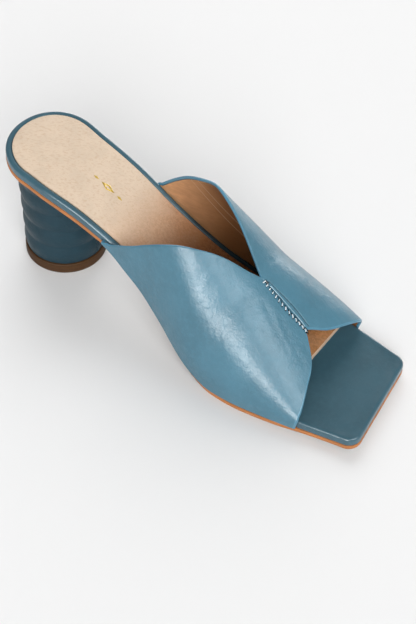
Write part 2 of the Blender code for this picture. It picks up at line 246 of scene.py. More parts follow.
def underside(station):
    """Height of the sole's underside above the floor."""
    share = station / LENGTH
    if share < TREAD_BACK:
        return HEEL_RISE * ease(SHANK_SECTIONS, "rise", max(share, 0.0), level_start=True)
    ahead = max(share - TREAD_FRONT, 0.0) / (1.0 - TREAD_FRONT)
    return TOE_SPRING * ahead ** TOE_SPRING_POWER


def footbed_base(station):
    return underside(station) + OUTSOLE_THICKNESS + CLEARANCE


def footbed_top(station):
    return footbed_base(station) + FOOTBED_THICKNESS


def stretch(station):
    """Upright height of a layer that is 1 thick across the slope of the sole."""
    reach = LENGTH / 400
    return math.hypot(1.0, (underside(station + reach) - underside(station - reach)) / (2 * reach))


def side_direction(side, station):
    """Level direction that points out of the footbed's edge, as x and station."""
    reach = LENGTH / 400
    slope = (half_width(side, station + reach) - half_width(side, station - reach)) / (2 * reach)
    size = math.hypot(1.0, slope)
    return side / size, -slope / size


def corner_centre(side):
    """Centre of a toe corner's round, touching the side and the slanted end of the toe."""
    station = LENGTH - TOE_RADIUS
    inner_x = -(half_width(INNER, station) - TOE_RADIUS)
    if side == INNER:
        return inner_x, station
    outer_x = half_width(OUTER, station) - TOE_RADIUS
    station -= math.tan(TOE_ANGLE) * (outer_x - inner_x)
    return half_width(OUTER, station) - TOE_RADIUS, station


def leather_end(side, end, down):
    """Station where the vamp's leather ends at the collar (back) or at the front."""
    column = ("inner_" if side == INNER else "outer_") + end
    return LENGTH * ease(EDGE_SECTIONS, column, min(down, SOLE_DOWN), key="down")


def margin_ends(side):
    """Stations between which the footbed makes room for the vamp's turned-in margin."""
    back = leather_end(side, "back", SOLE_DOWN) - CLEARANCE
    return back, leather_end(side, "front", SOLE_DOWN) + CLEARANCE


def outline():
    """Points round the footbed's edge: side, x, station and the level direction that points out.

    They start at the back of the seat, run down the inner side to the toe and come back up the
    outer side. Both sides have as many points.
    """
    front = SOCK_FRONT * LENGTH
    step = 0.05 * MM
    breaks = []
    for side in (INNER, OUTER):
        back = margin_ends(side)[0]
        breaks += [back - step, back]
    sides = {}
    for side in (INNER, OUTER):
        points = []
        for i in range(1, SEAT_STEPS):
            angle = math.pi / 2 * i / SEAT_STEPS
            across, back = math.sin(angle), math.cos(angle)
            out = Vector((side * across * SEAT_ROUND, -back * SEAT_WIDTH / 2)).normalized()
            points.append((side, side * SEAT_WIDTH / 2 * across, SEAT_ROUND * (1 - back), *out))
        corner_x, corner_station = corner_centre(side)
        margin_front = margin_ends(side)[1]
        stations = sorted(spread(SEAT_ROUND, front, SHANK_STEPS) + breaks + [front - SOCK_EDGE])
        stations += sorted(spread(front, corner_station, TOE_STEPS) + [margin_front, margin_front + step])
        for station in stations:
            points.append((side, side * half_width(side, station), station, *side_direction(side, station)))
        first = math.atan2(*reversed(side_direction(side, corner_station)))
        last = math.pi / 2 - TOE_ANGLE
        if side == INNER:
            first %= 2 * math.pi
        for i in range(CORNER_STEPS + 1):
            angle = first + (last - first) * i / CORNER_STEPS
            out_x, out_station = math.cos(angle), math.sin(angle)
            points.append((side, corner_x + TOE_RADIUS * out_x, corner_station + TOE_RADIUS * out_station,
                           out_x, out_station))
        sides[side] = points
    return [(INNER, 0.0, 0.0, 0.0, -1.0)] + sides[INNER] + sides[OUTER][::-1]


OUTLINE = outline()


def size_at(value, side, station):
    return value(side, station) if callable(value) else value


def ring(inset, lift, base, front=None, ahead=False):
    """Line round the sole, inset from the footbed's edge and lifted above a base height.

    Inset and lift are sizes, or functions of side and station. With a front, the line is that of
    the points behind it, which it closes straight across, or of those ahead of it.
    """
    line = []
    for side, x, station, out_x, out_station in OUTLINE:
        if front and (station < front if ahead else station > front):
            continue
        if front and station == front:
            out_station = 0.0
        offset = -size_at(inset, side, station)
        place = station + offset * out_station
        height = base(place) + size_at(lift, side, station)
        line.append(Vector((x + offset * out_x, -place, height)))
    return line


def add_line(bm, line):
    return [bm.verts.new(point) for point in line]


def add_band(bm, low, high, closed=True, material=0):
    """Faces between two lines of as many points."""
    count = len(low)
    faces = []
    for i in range(count if closed else count - 1):
        k = (i + 1) % count
        faces.append(bm.faces.new((low[i], low[k], high[k], high[i])))
        faces[-1].material_index = material
    return faces


def add_bands(bm, lines):
    for low, high in zip(lines, lines[1:]):
        add_band(bm, low, high)


def add_crosswise_cap(bm, row):
    """Faces from side to side of a line that starts at the back of the seat."""
    count = len(row)
    bm.faces.new((row[0], row[1], row[-1]))
    for i in range(1, count // 2):
        bm.faces.new((row[i], row[i + 1], row[count - i - 1], row[count - i]))


def turn_outwards(bm):
    bmesh.ops.recalc_face_normals(bm, faces=bm.faces)


def mesh_of(bm, name):
    mesh = bpy.data.meshes.new(name)
    bm.to_mesh(mesh)
    bm.free()
    return mesh


def at_shoe(mesh):
    """The mesh, whose stations run along -Y from the back of the seat, in the shoe's place."""
    mesh.transform(Matrix.Translation((MIDDLE, SEAT_BACK, 0.0)))
    return mesh


def piece_of(mesh, materials, smooth_angle=40.0):
    """New object of a mesh, under its name. To clear no materials would reset those of the faces."""
    if mesh.materials:
        mesh.materials.clear()
    for material in materials:
        mesh.materials.append(material)
    mesh.shade_smooth()
    mesh.set_sharp_from_angle(angle=math.radians(smooth_angle))
    piece = bpy.data.objects.new(mesh.name, mesh)
    bpy.context.scene.collection.objects.link(piece)
    return piece


def join_shoe(piece, slot, *nodes):
    """The piece moves with the shoe and stands for solids, which it hides. The slot is not used."""
    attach(piece, "root")
    if nodes:
        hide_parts(*nodes)


class Nodes:
    """A node tree built one node at a time. A value is a plain one or another node's socket."""

    def put(self, socket, value):
        if isinstance(value, bpy.types.NodeSocket):
            self.tree.links.new(value, socket)
        else:
            socket.default_value = value

    def add(self, kind, inputs=None, **settings):
        node = self.tree.nodes.new(kind)
        for name, value in settings.items():
            setattr(node, name, value)
        for name, value in (inputs or {}).items():
            self.put(node.inputs[name], value)
        return node

    def math(self, operation, *values):
        node = self.add("ShaderNodeMath", operation=operation)
        for socket, value in zip(node.inputs, values):
            self.put(socket, value)
        return node.outputs[0]

    def vector(self, **parts):
        return self.add("ShaderNodeCombineXYZ", parts).outputs[0]

    def parts(self, vector):
        return self.add("ShaderNodeSeparateXYZ", {"Vector": vector}).outputs


class Look(Nodes):
    """A material with patterns in the shoe's own place."""

    def __init__(self, name, colour, roughness, **shader_values):
        self.material = bpy.data.materials.new(name)
        self.material.use_nodes = True
        self.tree = self.material.node_tree
        self.shader = self.tree.nodes["Principled BSDF"]
        self.shader.inputs["Base Color"].default_value = (*colour, 1.0)
        self.shader.inputs["Roughness"].default_value = roughness
        for name, value in shader_values.items():
            self.shader.inputs[name.replace("_", " ").title().replace("Ior", "IOR")].default_value = value
        self.place = self.add("ShaderNodeTexCoord").outputs["Object"]
        self.normal = None

    def mapped(self, scale=(1.0, 1.0, 1.0), degrees=0.0, kind="POINT"):
        """Place scaled and turned about the upright axis."""
        inputs = {"Vector": self.place, "Scale": scale, "Rotation": (0.0, 0.0, math.radians(degrees))}
        return self.add("ShaderNodeMapping", inputs, vector_type=kind).outputs[0]

    def stretched(self, angle, factor):
        """Place stretched by a factor along a level direction, an angle in degrees from -Y towards +X."""
        return self.mapped((factor, 1.0, 1.0), angle - 90.0, kind="TEXTURE")

    def noise(self, size, detail=2.0, roughness=0.5, distortion=0.0, place=None):
        """Soft noise whose features are about as large as the size, in metres."""
        inputs = {"Vector": place or self.place, "Scale": 1.0 / size, "Detail": detail,
                  "Roughness": roughness, "Distortion": distortion}
        return self.add("ShaderNodeTexNoise", inputs).outputs[0]

    def cells(self, size, feature="F1", randomness=1.0, place=None):
        inputs = {"Vector": place or self.place, "Scale": 1.0 / size, "Randomness": randomness}
        return self.add("ShaderNodeTexVoronoi", inputs, feature=feature).outputs["Distance"]

    def span(self, value, low, high, to_low, to_high):
        """Value between low and high, eased to run from to_low to to_high."""
        inputs = {"Value": value, "From Min": low, "From Max": high, "To Min": to_low, "To Max": to_high}
        return self.add("ShaderNodeMapRange", inputs, interpolation_type="SMOOTHSTEP").outputs[0]

    def ahead(self, front, back, at_front, at_back):
        """Value that eases from a station further ahead to one further back."""
        return self.span(self.parts(self.place)[1], SEAT_BACK - front, SEAT_BACK - back, at_front, at_back)

    def mix(self, factor, first, second):
        node = self.add("ShaderNodeMix", data_type="RGBA")
        self.put(node.inputs[0], factor)
        for index, colour in ((6, first), (7, second)):
            plain = not isinstance(colour, bpy.types.NodeSocket)
            self.put(node.inputs[index], (*colour, 1.0) if plain else colour)
        return node.outputs[2]

    def clouds(self, colour, dark, light, size, **settings):
        """The colour in soft clouds, toned from dark to light."""
        share = self.span(self.noise(size, **settings), 0.3, 0.7, 0.0, 1.0)
        return self.mix(share, toned(colour, dark), toned(colour, light))

    def paint(self, tone):
        self.put(self.shader.inputs["Base Color"], tone)

    def rough(self, value):
        self.put(self.shader.inputs["Roughness"], value)

    def bump(self, height, strength, distance):
        """Relief on top of the reliefs before it, in the surface and in its coat."""
        inputs = {"Height": height, "Strength": strength, "Distance": distance}
        if self.normal:
            inputs["Normal"] = self.normal
        self.normal = self.add("ShaderNodeBump", inputs).outputs[0]
        self.put(self.shader.inputs["Normal"], self.normal)
        self.put(self.shader.inputs["Coat Normal"], self.normal)


def toned(colour, *factors):
    """Colour times one factor, or times a factor for each channel."""
    factors = factors if len(factors) > 1 else factors * 3
    return tuple(min(channel * factor, 1.0) for channel, factor in zip(colour, factors))


def calf_leather(name, colour, roughness=0.40, gloss=0.25, grain=1.0, coat_weight=0.40, coat_roughness=0.27,
                 dark_station=None):
    """Smooth dyed calf: cloudy dye, fine pores and a polished, slightly uneven surface.

    Between two dark stations the colour is darkened, as painted shade under the vamp.
    """
    look = Look(name, colour, roughness, specular_ior_level=gloss, coat_weight=coat_weight,
                coat_roughness=coat_roughness)
    tone = look.clouds(colour, 0.90, 1.10, 0.030, detail=3.0, roughness=0.55)
    blotches = look.noise(0.003, detail=4.0, roughness=0.6)
    tone = look.mix(look.span(blotches, 0.40, 0.75, 0.0, 0.40), tone, toned(colour, 1.28))
    tone = look.mix(look.span(look.noise(0.0006), 0.45, 0.8, 0.0, 0.3), tone, toned(colour, 0.82))
    # Painted shade: the cover darkens between the dark stations, where the vamp shades it.
    if dark_station:
        back, front = dark_station
        painted_shade = look.math("MULTIPLY", look.ahead(back + 0.020, back, 0.85, 0.0),
                         look.ahead(front + 0.006, front, 0.0, 1.0))
        tone = look.mix(painted_shade, tone, toned(colour, 0.20))
    look.paint(tone)
    look.rough(look.span(look.noise(0.005, detail=4.0), 0.3, 0.7, roughness - 0.05, roughness + 0.07))
    look.bump(look.noise(0.0130), 1.0, 0.00045 * grain)
    look.bump(look.noise(0.0036, detail=5.0, roughness=0.66), 1.0, 0.00024 * grain)
    look.bump(look.noise(0.0014, detail=3.0, roughness=0.6), 1.0, 0.00014 * grain)
    look.bump(look.cells(0.00065, feature="SMOOTH_F1"), 0.35 * grain, 0.00007)
    look.bump(look.noise(0.00025), 0.20 * grain, 0.00003)
    return look.material


def lining_leather(name, colour, painted_shade=True):
    """Thin tan lining with fine wrinkles where it bends. When the flag is set, painted shade darkens the
    wrinkles' valleys and the lining deep inside, and two lighter lines cross it.
    """
    look = Look(name, colour, 0.58, specular_ior_level=0.35)
    tone = look.clouds(colour, 0.84, 1.12, 0.018, detail=4.0, roughness=0.6)
    wrinkles = look.noise(0.0020, detail=4.0, distortion=0.8, place=look.mapped((1.0, 0.25, 1.0), 25.0))
    if painted_shade:
        # Painted shade in the valleys of the wrinkles.
        tone = look.mix(look.span(wrinkles, 0.42, 0.58, 0.28, 0.0), tone, toned(colour, 0.62))
        # Painted shade: the lining darkens deep inside, towards the toe.
        tone = look.mix(look.ahead(0.122, 0.082, 0.92, 0.0), tone, toned(colour, 0.30, 0.23, 0.15))
        x, y, z = look.parts(look.place)
        # Two lighter diagonal lines across the lining.
        for light_line in LIGHT_LINES:
            off = look.math("SUBTRACT", look.math("SUBTRACT", z, y), light_line - SEAT_BACK)
            near = look.span(look.math("ABSOLUTE", off), 0.0001, 0.0005, 0.50, 0.0)
            tone = look.mix(near, tone, (0.62, 0.44, 0.30))
    look.paint(tone)
    look.bump(wrinkles, 0.5, 0.0003)
    look.bump(look.cells(0.0007), 0.3, 0.00006)
    return look.material


def pigskin(name, colour, front_colour):
    """Pale sock leather with short rows of fine pinkish pores. It is browner under the vamp, partly its own
    colour and partly painted shade, with a band of painted shade deep under the vamp.
    """
    look = Look(name, colour, 0.62, specular_ior_level=0.3)
    clouds = look.noise(0.012, detail=4.0, roughness=0.6)
    pale = look.mix(look.span(clouds, 0.35, 0.7, 0.0, 0.6), toned(colour, 1.05), toned(colour, 0.92))
    patches = look.noise(0.009, detail=3.0, roughness=0.6)
    # Browner towards the vamp: partly the sock's own colour, partly painted shade.
    brown = look.math("MULTIPLY", look.ahead(0.112, 0.064, 1.0, 0.0), look.span(patches, 0.3, 0.7, 0.82, 1.0))
    tone = look.mix(brown, pale, front_colour)
    # Painted shade: a dark band on the sock deep under the vamp.
    deep = look.math("MULTIPLY", look.ahead(0.116, 0.086, 0.95, 0.0), look.ahead(0.180, 0.164, 0.0, 1.0))
    tone = look.mix(deep, tone, toned(front_colour, 0.20, 0.15, 0.10))
    grain = look.noise(0.0013, detail=3.0, roughness=0.65, distortion=0.6)
    grain = look.math("MULTIPLY", brown, look.span(grain, 0.40, 0.60, 0.45, 0.0))
    tone = look.mix(grain, tone, toned(front_colour, 0.5))
    rows = look.noise(0.0009, roughness=0.6, place=look.stretched(34.0, 2.6))
    pores = look.math("MULTIPLY", look.span(rows, 0.50, 0.66, 0.0, 0.50), look.math("SUBTRACT", 1.0, brown))
    tone = look.mix(pores, tone, toned(colour, 0.86, 0.74, 0.64))
    dots = look.cells(0.0009, randomness=0.8, place=look.stretched(34.0, 1.5))
    tone = look.mix(look.span(dots, 0.08, 0.26, 0.20, 0.0), tone, toned(front_colour, 0.7))
    look.paint(tone)
    look.bump(rows, 0.4, 0.00010)
    look.bump(look.noise(0.0016, detail=4.0), 0.8, 0.00020)
    look.bump(look.cells(0.0012), 0.6, 0.00020)
    return look.material


def sole_leather(name, colour):
    """Thick vegetable-tanned leather, with fibres along its cut edge and a rubbed tread."""
    look = Look(name, colour, 0.5, specular_ior_level=0.4)
    fibres = look.noise(0.0006, detail=5.0, roughness=0.7, place=look.mapped((0.15, 0.15, 1.6)))
    tone = look.clouds(colour, 0.85, 1.12, 0.015, detail=3.0)
    tone = look.mix(look.span(fibres, 0.4, 0.7, 0.0, 0.5), tone, toned(colour, 0.7))
    low = look.span(look.parts(look.place)[2], 0.0, 0.0004, 1.0, 0.0)
    rubs = look.span(look.noise(0.003, detail=6.0, roughness=0.7), 0.45, 0.6, 0.0, 0.6)
    look.paint(look.mix(look.math("MULTIPLY", low, rubs), tone, toned(colour, 0.55)))
    look.rough(look.span(look.noise(0.002, detail=3.0), 0.3, 0.7, 0.42, 0.62))
    look.bump(fibres, 0.35, 0.00010)
    return look.material


def stacked_leather(name, colour):
    """Brown leather tip, in thin layers."""
    look = Look(name, colour, 0.6, specular_ior_level=0.2)
    inputs = {"Vector": look.place, "Scale": 120.0, "Distortion": 1.2, "Detail": 2.0, "Detail Scale": 40.0}
    layers = look.add("ShaderNodeTexWave", inputs, bands_direction="Z").outputs["Fac"]
    grain = look.noise(0.0008, detail=4.0, roughness=0.7, place=look.mapped((0.4, 0.4, 1.5)))
    tone = look.mix(look.span(layers, 0.0, 0.25, 0.5, 0.0), toned(colour, 1.1), toned(colour, 0.55))
    look.paint(look.mix(look.span(grain, 0.4, 0.7, 0.0, 0.5), tone, toned(colour, 1.5)))
    look.bump(layers, 0.25, 0.00008)
    look.bump(grain, 0.3, 0.00008)
    return look.material


def thread_finish(name, colour):
    """Twisted waxed thread."""
    look = Look(name, colour, 0.55, sheen_weight=0.2, sheen_roughness=0.4)
    strands = look.noise(0.00025, place=look.mapped((1.0, 0.35, 1.0), 40.0))
    look.paint(look.mix(look.span(strands, 0.35, 0.65, 0.0, 1.0), toned(colour, 0.72), colour))
    look.bump(strands, 0.5, 0.00008)
    return look.material


def gold_foil(name, colour):
    """Worn gold foil, pressed into the sock."""
    look = Look(name, colour, 0.35, metallic=0.45)
    look.rough(look.span(look.noise(0.0007, detail=4.0, roughness=0.7), 0.35, 0.6, 0.5, 0.28))
    look.bump(look.noise(0.0006, detail=3.0), 0.3, 0.00003)
    return look.material


# Near-black pits: painted shade inside the needle holes.
def dark_hole(name, colour):
    look = Look(name, colour, 0.9, specular_ior_level=0.1)
    look.paint(look.mix(look.noise(0.0004), colour, toned(colour, 2.0)))
    return look.material


class NodeGroup(Nodes):
    """A Geometry Nodes tree with named inputs."""

    def __init__(self, name):
        self.tree = bpy.data.node_groups.new(name, "GeometryNodeTree")
        for way in ("INPUT", "OUTPUT"):
            self.tree.interface.new_socket("Geometry", in_out=way, socket_type="NodeSocketGeometry")
        self.entry = self.add("NodeGroupInput")
        self.exit = self.add("NodeGroupOutput")
        self.identifiers = {}

    def inputs(self, names, kind="Float"):
        """Named inputs, in the order of the names, which commas part."""
        sockets = []
        for name in names.split(", "):
            made = self.tree.interface.new_socket(name, in_out="INPUT", socket_type="NodeSocket" + kind)
            self.identifiers[name] = made.identifier
            sockets.append(self.entry.outputs[name])
        return sockets

    def on_marks(self, shape, scale=(1.0, 1.0, 1.0)):
        """The shape on each point, turned by the point's up and along directions."""
        axes = {}
        for key, name in (("Primary Axis", "up"), ("Secondary Axis", "along")):
            read = self.add("GeometryNodeInputNamedAttribute", {"Name": name}, data_type="FLOAT_VECTOR")
            axes[key] = read.outputs[0]
        turn = self.add("FunctionNodeAxesToRotation", axes, primary_axis="Z", secondary_axis="X").outputs[0]
        points = self.add("GeometryNodeMeshToPoints", {"Mesh": self.entry.outputs["Geometry"]}).outputs[0]
        inputs = {"Points": points, "Instance": shape, "Rotation": turn, "Scale": scale}
        return self.add("GeometryNodeInstanceOnPoints", inputs).outputs[0]

    def finish(self, geometry):
        """Ends the tree with real meshes that hold the material."""
        material, = self.inputs("Material", "Material")
        real = self.add("GeometryNodeRealizeInstances", {"Geometry": geometry}).outputs[0]
        painted = self.add("GeometryNodeSetMaterial", {"Geometry": real, "Material": material})
        self.put(self.exit.inputs[0], painted.outputs[0])
        return self

    def build(self, name, source, values):
        """Plain mesh that the tree makes of a source mesh with these values."""
        carrier = bpy.data.objects.new(name + "_source", source)
        bpy.context.scene.collection.objects.link(carrier)
        modifier = carrier.modifiers.new("Nodes", "NODES")
        modifier.node_group = self.tree
        for key, value in values.items():
            modifier[self.identifiers[key]] = value
        bpy.context.view_layer.update()
        mesh = bpy.data.meshes.new_from_object(carrier.evaluated_get(bpy.context.evaluated_depsgraph_get()))
        carrier.modifiers.remove(modifier)
        bpy.data.objects.remove(carrier)
        mesh.name = name
        if not mesh.polygons:
            raise RuntimeError("no faces came out of the nodes for " + name)
        return mesh


def stitch_nodes():
    """Bent threads, one on each point, a little unlike in size."""
    group = NodeGroup("stitches")
    length, height, thickness, jitter = group.inputs("Length, Height, Thickness, Jitter")
    seed, = group.inputs("Seed", "Int")
    half = group.math("MULTIPLY", length, 0.5)
    arc = group.add("GeometryNodeCurveQuadraticBezier", {
        "Resolution": 8, "Start": group.vector(X=group.math("MULTIPLY", half, -1.0)),
        "Middle": group.vector(Z=group.math("MULTIPLY", height, 2.0)), "End": group.vector(X=half)})
    radius = group.math("MULTIPLY", thickness, 0.5)
    profile = group.add("GeometryNodeCurvePrimitiveCircle", {"Resolution": 8, "Radius": radius})
    thread = group.add("GeometryNodeCurveToMesh", {
        "Curve": arc.outputs[0], "Profile Curve": profile.outputs[0], "Fill Caps": True})
    change = group.add("FunctionNodeRandomValue", {"Seed": seed}, data_type="FLOAT")
    lowest, highest = [socket for socket in change.inputs if socket.type == "VALUE" and socket.enabled]
    group.put(lowest, group.math("SUBTRACT", 1.0, jitter))
    group.put(highest, group.math("ADD", 1.0, jitter))
    size = [socket for socket in change.outputs if socket.type == "VALUE" and socket.enabled][0]
    return group.finish(group.on_marks(thread.outputs[0], size))


def hole_nodes():
    """Small round pits, one on each point."""
    group = NodeGroup("needle_holes")
    radius, = group.inputs("Radius")
    depth = group.math("MULTIPLY", radius, 0.3)
    pit = group.add("GeometryNodeMeshCone", {"Vertices": 10, "Side Segments": 1, "Fill Segments": 1,
                                             "Radius Top": 0.0, "Radius Bottom": radius, "Depth": depth})
    return group.finish(group.on_marks(pit.outputs[0]))


def heel_nodes():
    """Column with soft rings round it, from its base up to the sole that it meets."""
    group = NodeGroup("wave_heel")
    work = group.math
    sole, = group.inputs("Sole", "Object")
    columns, rows = group.inputs("Columns, Rows", "Int")
    foot, head, waist, waves, depth, softness = group.inputs(
        "Foot Radius, Head Radius, Waist, Waves, Wave Depth, Softness")
    ridge, ridge_width, groove_width = group.inputs("Seam Ridge, Ridge Width, Groove Width")
    low, high, room, centre_x, centre_y = group.inputs("Base, Head, Room, Centre X, Centre Y")
    unit = {"Vertices": columns, "Side Segments": rows, "Fill Segments": 1, "Radius": 1.0, "Depth": 1.0}
    column = group.add("GeometryNodeMeshCylinder", unit, fill_type="TRIANGLE_FAN")
    x, y, z = group.parts(group.add("GeometryNodeInputPosition").outputs[0])
    below = group.vector(X=work("MULTIPLY_ADD", x, head, centre_x),
                         Y=work("MULTIPLY_ADD", y, head, centre_y), Z=low)
    sole_mesh = group.add("GeometryNodeObjectInfo", {"Object": sole}, transform_space="RELATIVE")
    hit = group.add("GeometryNodeRaycast", {
        "Target Geometry": sole_mesh.outputs["Geometry"], "Ray Length": 1.0, "Source Position": below,
        "Ray Direction": (0.0, 0.0, 1.0)})
    hit_place = [socket for socket in hit.outputs if socket.name == "Hit Position"][0]
    top = work("SUBTRACT", group.parts(hit_place)[2], room)
    height = work("MULTIPLY_ADD", work("SUBTRACT", top, low), work("ADD", z, 0.5), low)
    share = work("DIVIDE", work("SUBTRACT", height, low), work("SUBTRACT", high, low))
    plain = work("MULTIPLY_ADD", work("SUBTRACT", head, foot), share, foot)
    bow = work("MULTIPLY", 4.0, work("MULTIPLY", share, work("SUBTRACT", 1.0, share)))
    radius = work("SUBTRACT", plain, work("MULTIPLY", waist, bow))
    turn = work("SINE", work("MULTIPLY", share, work("MULTIPLY", waves, math.pi)))
    wave = work("SQRT", work("MULTIPLY_ADD", turn, turn, softness))
    radius = work("MULTIPLY_ADD", work("SUBTRACT", wave, 1.0), depth, radius)
    off_seam = work("MULTIPLY", work("ARCTAN2", x, work("MULTIPLY", y, -1.0)), foot)

    def hump(width):
        off = work("DIVIDE", off_seam, width)
        return work("EXPONENT", work("MULTIPLY", work("MULTIPLY", off, off), -1.0))

    seam = work("SUBTRACT", hump(ridge_width), work("MULTIPLY", hump(groove_width), 1.6))
    radius = work("MULTIPLY_ADD", seam, ridge, radius)
    placed = group.vector(X=work("MULTIPLY_ADD", x, radius, centre_x),
                          Y=work("MULTIPLY_ADD", y, radius, centre_y), Z=height)
    shaped = group.add("GeometryNodeSetPosition", {"Geometry": column.outputs[0], "Position": placed})
    return group.finish(shaped.outputs[0])


def marks_mesh(name, marks):
    """Loose points that carry an up and an along direction each."""
    mesh = bpy.data.meshes.new(name)
    mesh.from_pydata([mark["at"] for mark in marks], [], [])
    for key in ("up", "along"):
        attribute = mesh.attributes.new(key, "FLOAT_VECTOR", "POINT")
        for i, mark in enumerate(marks):
            attribute.data[i].vector = mark[key]
    return mesh


def arch_point(side, station, down):
    """Plain outer form of the vamp: down runs from 0 at the crown to 1 at the footbed's top."""
    share = station / LENGTH
    rise = INSTEP_HEIGHT * ease(VAMP_SECTIONS, "crown", share)
    power = 2.0 / ease(VAMP_SECTIONS, "roundness", share)
    angle = math.pi / 2 * (1.0 - down)
    out_x, out_station = side_direction(side, station)
    stand_out = UPPER_WALL + CLEARANCE
    foot_x = side * (half_width(side, station) + gape(side, station)) + stand_out * out_x
    across = math.cos(angle) ** power if down > 0 else 0.0
    x = -CROWN_SHIFT + (foot_x + CROWN_SHIFT) * across
    if side == OUTER:
        x += OUTER_FULLNESS * math.sin(2 * angle)
    up = math.sin(angle) ** power if down < 1 else 0.0
    place = station + stand_out * out_station * across
    return Vector((x, -place, footbed_top(place) + rise * up))


def gape(side, station):
    """How far the leather stands off the footbed beside the arch, on the inner side."""
    if side == OUTER:
        return 0.0
    return GAPE * bell(station / LENGTH - GAPE_MIDDLE, GAPE_REACH)


def foot_point(side, station, inset, lift):
    """Point of the vamp below the footbed's top, and of its margin turned in under the footbed."""
    out_x, out_station = side_direction(side, station)
    x = side * (half_width(side, station) + gape(side, station)) - inset * out_x
    place = station - inset * out_station
    return Vector((x, -place, footbed_base(place) + lift))


def down_at(station, side, distance):
    """How far down the vamp a point lies at a level distance from the seam."""
    power = 2.0 / ease(VAMP_SECTIONS, "roundness", station / LENGTH)
    width = half_width(side, station) + UPPER_WALL + CLEARANCE
    return math.asin((distance / width) ** (1.0 / power)) * 2 / math.pi


def leather_station(side, row, down, trim):
    """Station of a row of the vamp; rows lie close together beside the collar and the front."""
    back = leather_end(side, "back", down) + trim
    front = leather_end(side, "front", down) - trim
    if row < EDGE_ROWS:
        return back + EDGE_STEP * row
    if row > VAMP_ROWS - EDGE_ROWS:
        return front - EDGE_STEP * (VAMP_ROWS - row)
    near = EDGE_ROWS * EDGE_STEP
    share = (row - EDGE_ROWS) / (VAMP_ROWS - 2 * EDGE_ROWS)
    return back + near + (front - back - 2 * near) * share


def crease_height(side, along, down, reach):
    """Height of the soft ridges and troughs at a point of the vamp."""
    height = 0.0
    for crease in CREASES:
        if crease["side"] != side:
            continue
        (a0, d0), (a1, d1) = crease["from"], crease["to"]
        span = (along - a0) / (a1 - a0)
        middle = d0 + (d1 - d0) * min(max(span, 0.0), 1.0)
        fade = smooth_step(span / 0.35 + 0.5) * smooth_step((1.0 - span) / 0.35 + 0.5)
        height += crease["height"] * bell((down - middle) * reach, crease["width"]) * fade
    edge = smooth_step(min(along, 1.0 - along) / 0.06)
    return height * edge * smooth_step(down / 0.1) * smooth_step((1.0 - down) / 0.1)


def vamp_line(side, row, trim, depth):
    """Points from the crown down one side to the end of the margin, a depth below the outer face."""
    seam_station = leather_station(side, row, 0.0, trim)
    downs = [0.0] + [down_at(seam_station, side, SEAM_STEP * (i + 1)) for i in range(SEAM_STEPS)]
    first = downs[-1]
    downs += [first + (1.0 - first) * (i + 1) / ARCH_STEPS for i in range(ARCH_STEPS)]
    points = []
    reach = 2.2 * half_width(side, seam_station)
    for down in downs:
        station = leather_station(side, row, down, trim)
        points.append((arch_point(side, station, down), crease_height(side, row / VAMP_ROWS, down, reach)))
    outside = -(UPPER_WALL + CLEARANCE)
    feet = []
    for i in range(1, FOOT_STEPS + 1):
        share = i / FOOT_STEPS
        lift = FOOTBED_THICKNESS + (FOLD_RADIUS - FOOTBED_THICKNESS) * share
        feet.append((1.0 + (SOLE_DOWN - 1.0) * share, outside, lift))
    for i in range(1, BEND_STEPS + 1):
        angle = math.pi / 2 * i / BEND_STEPS
        inset, lift = [FOLD_RADIUS * (1 - turn) for turn in (math.cos(angle), math.sin(angle))]
        feet.append((SOLE_DOWN, outside + inset, lift))
    bent = outside + FOLD_RADIUS
    for i in range(1, MARGIN_STEPS + 1):
        feet.append((SOLE_DOWN, bent + (MARGIN_WIDTH - bent) * i / MARGIN_STEPS, 0.0))
    low = []
    for down, inset, lift in feet:
        station = leather_station(side, row, down, trim)
        low.append(foot_point(side, station, max(inset, outside + depth), max(lift, depth)))
    return points, low


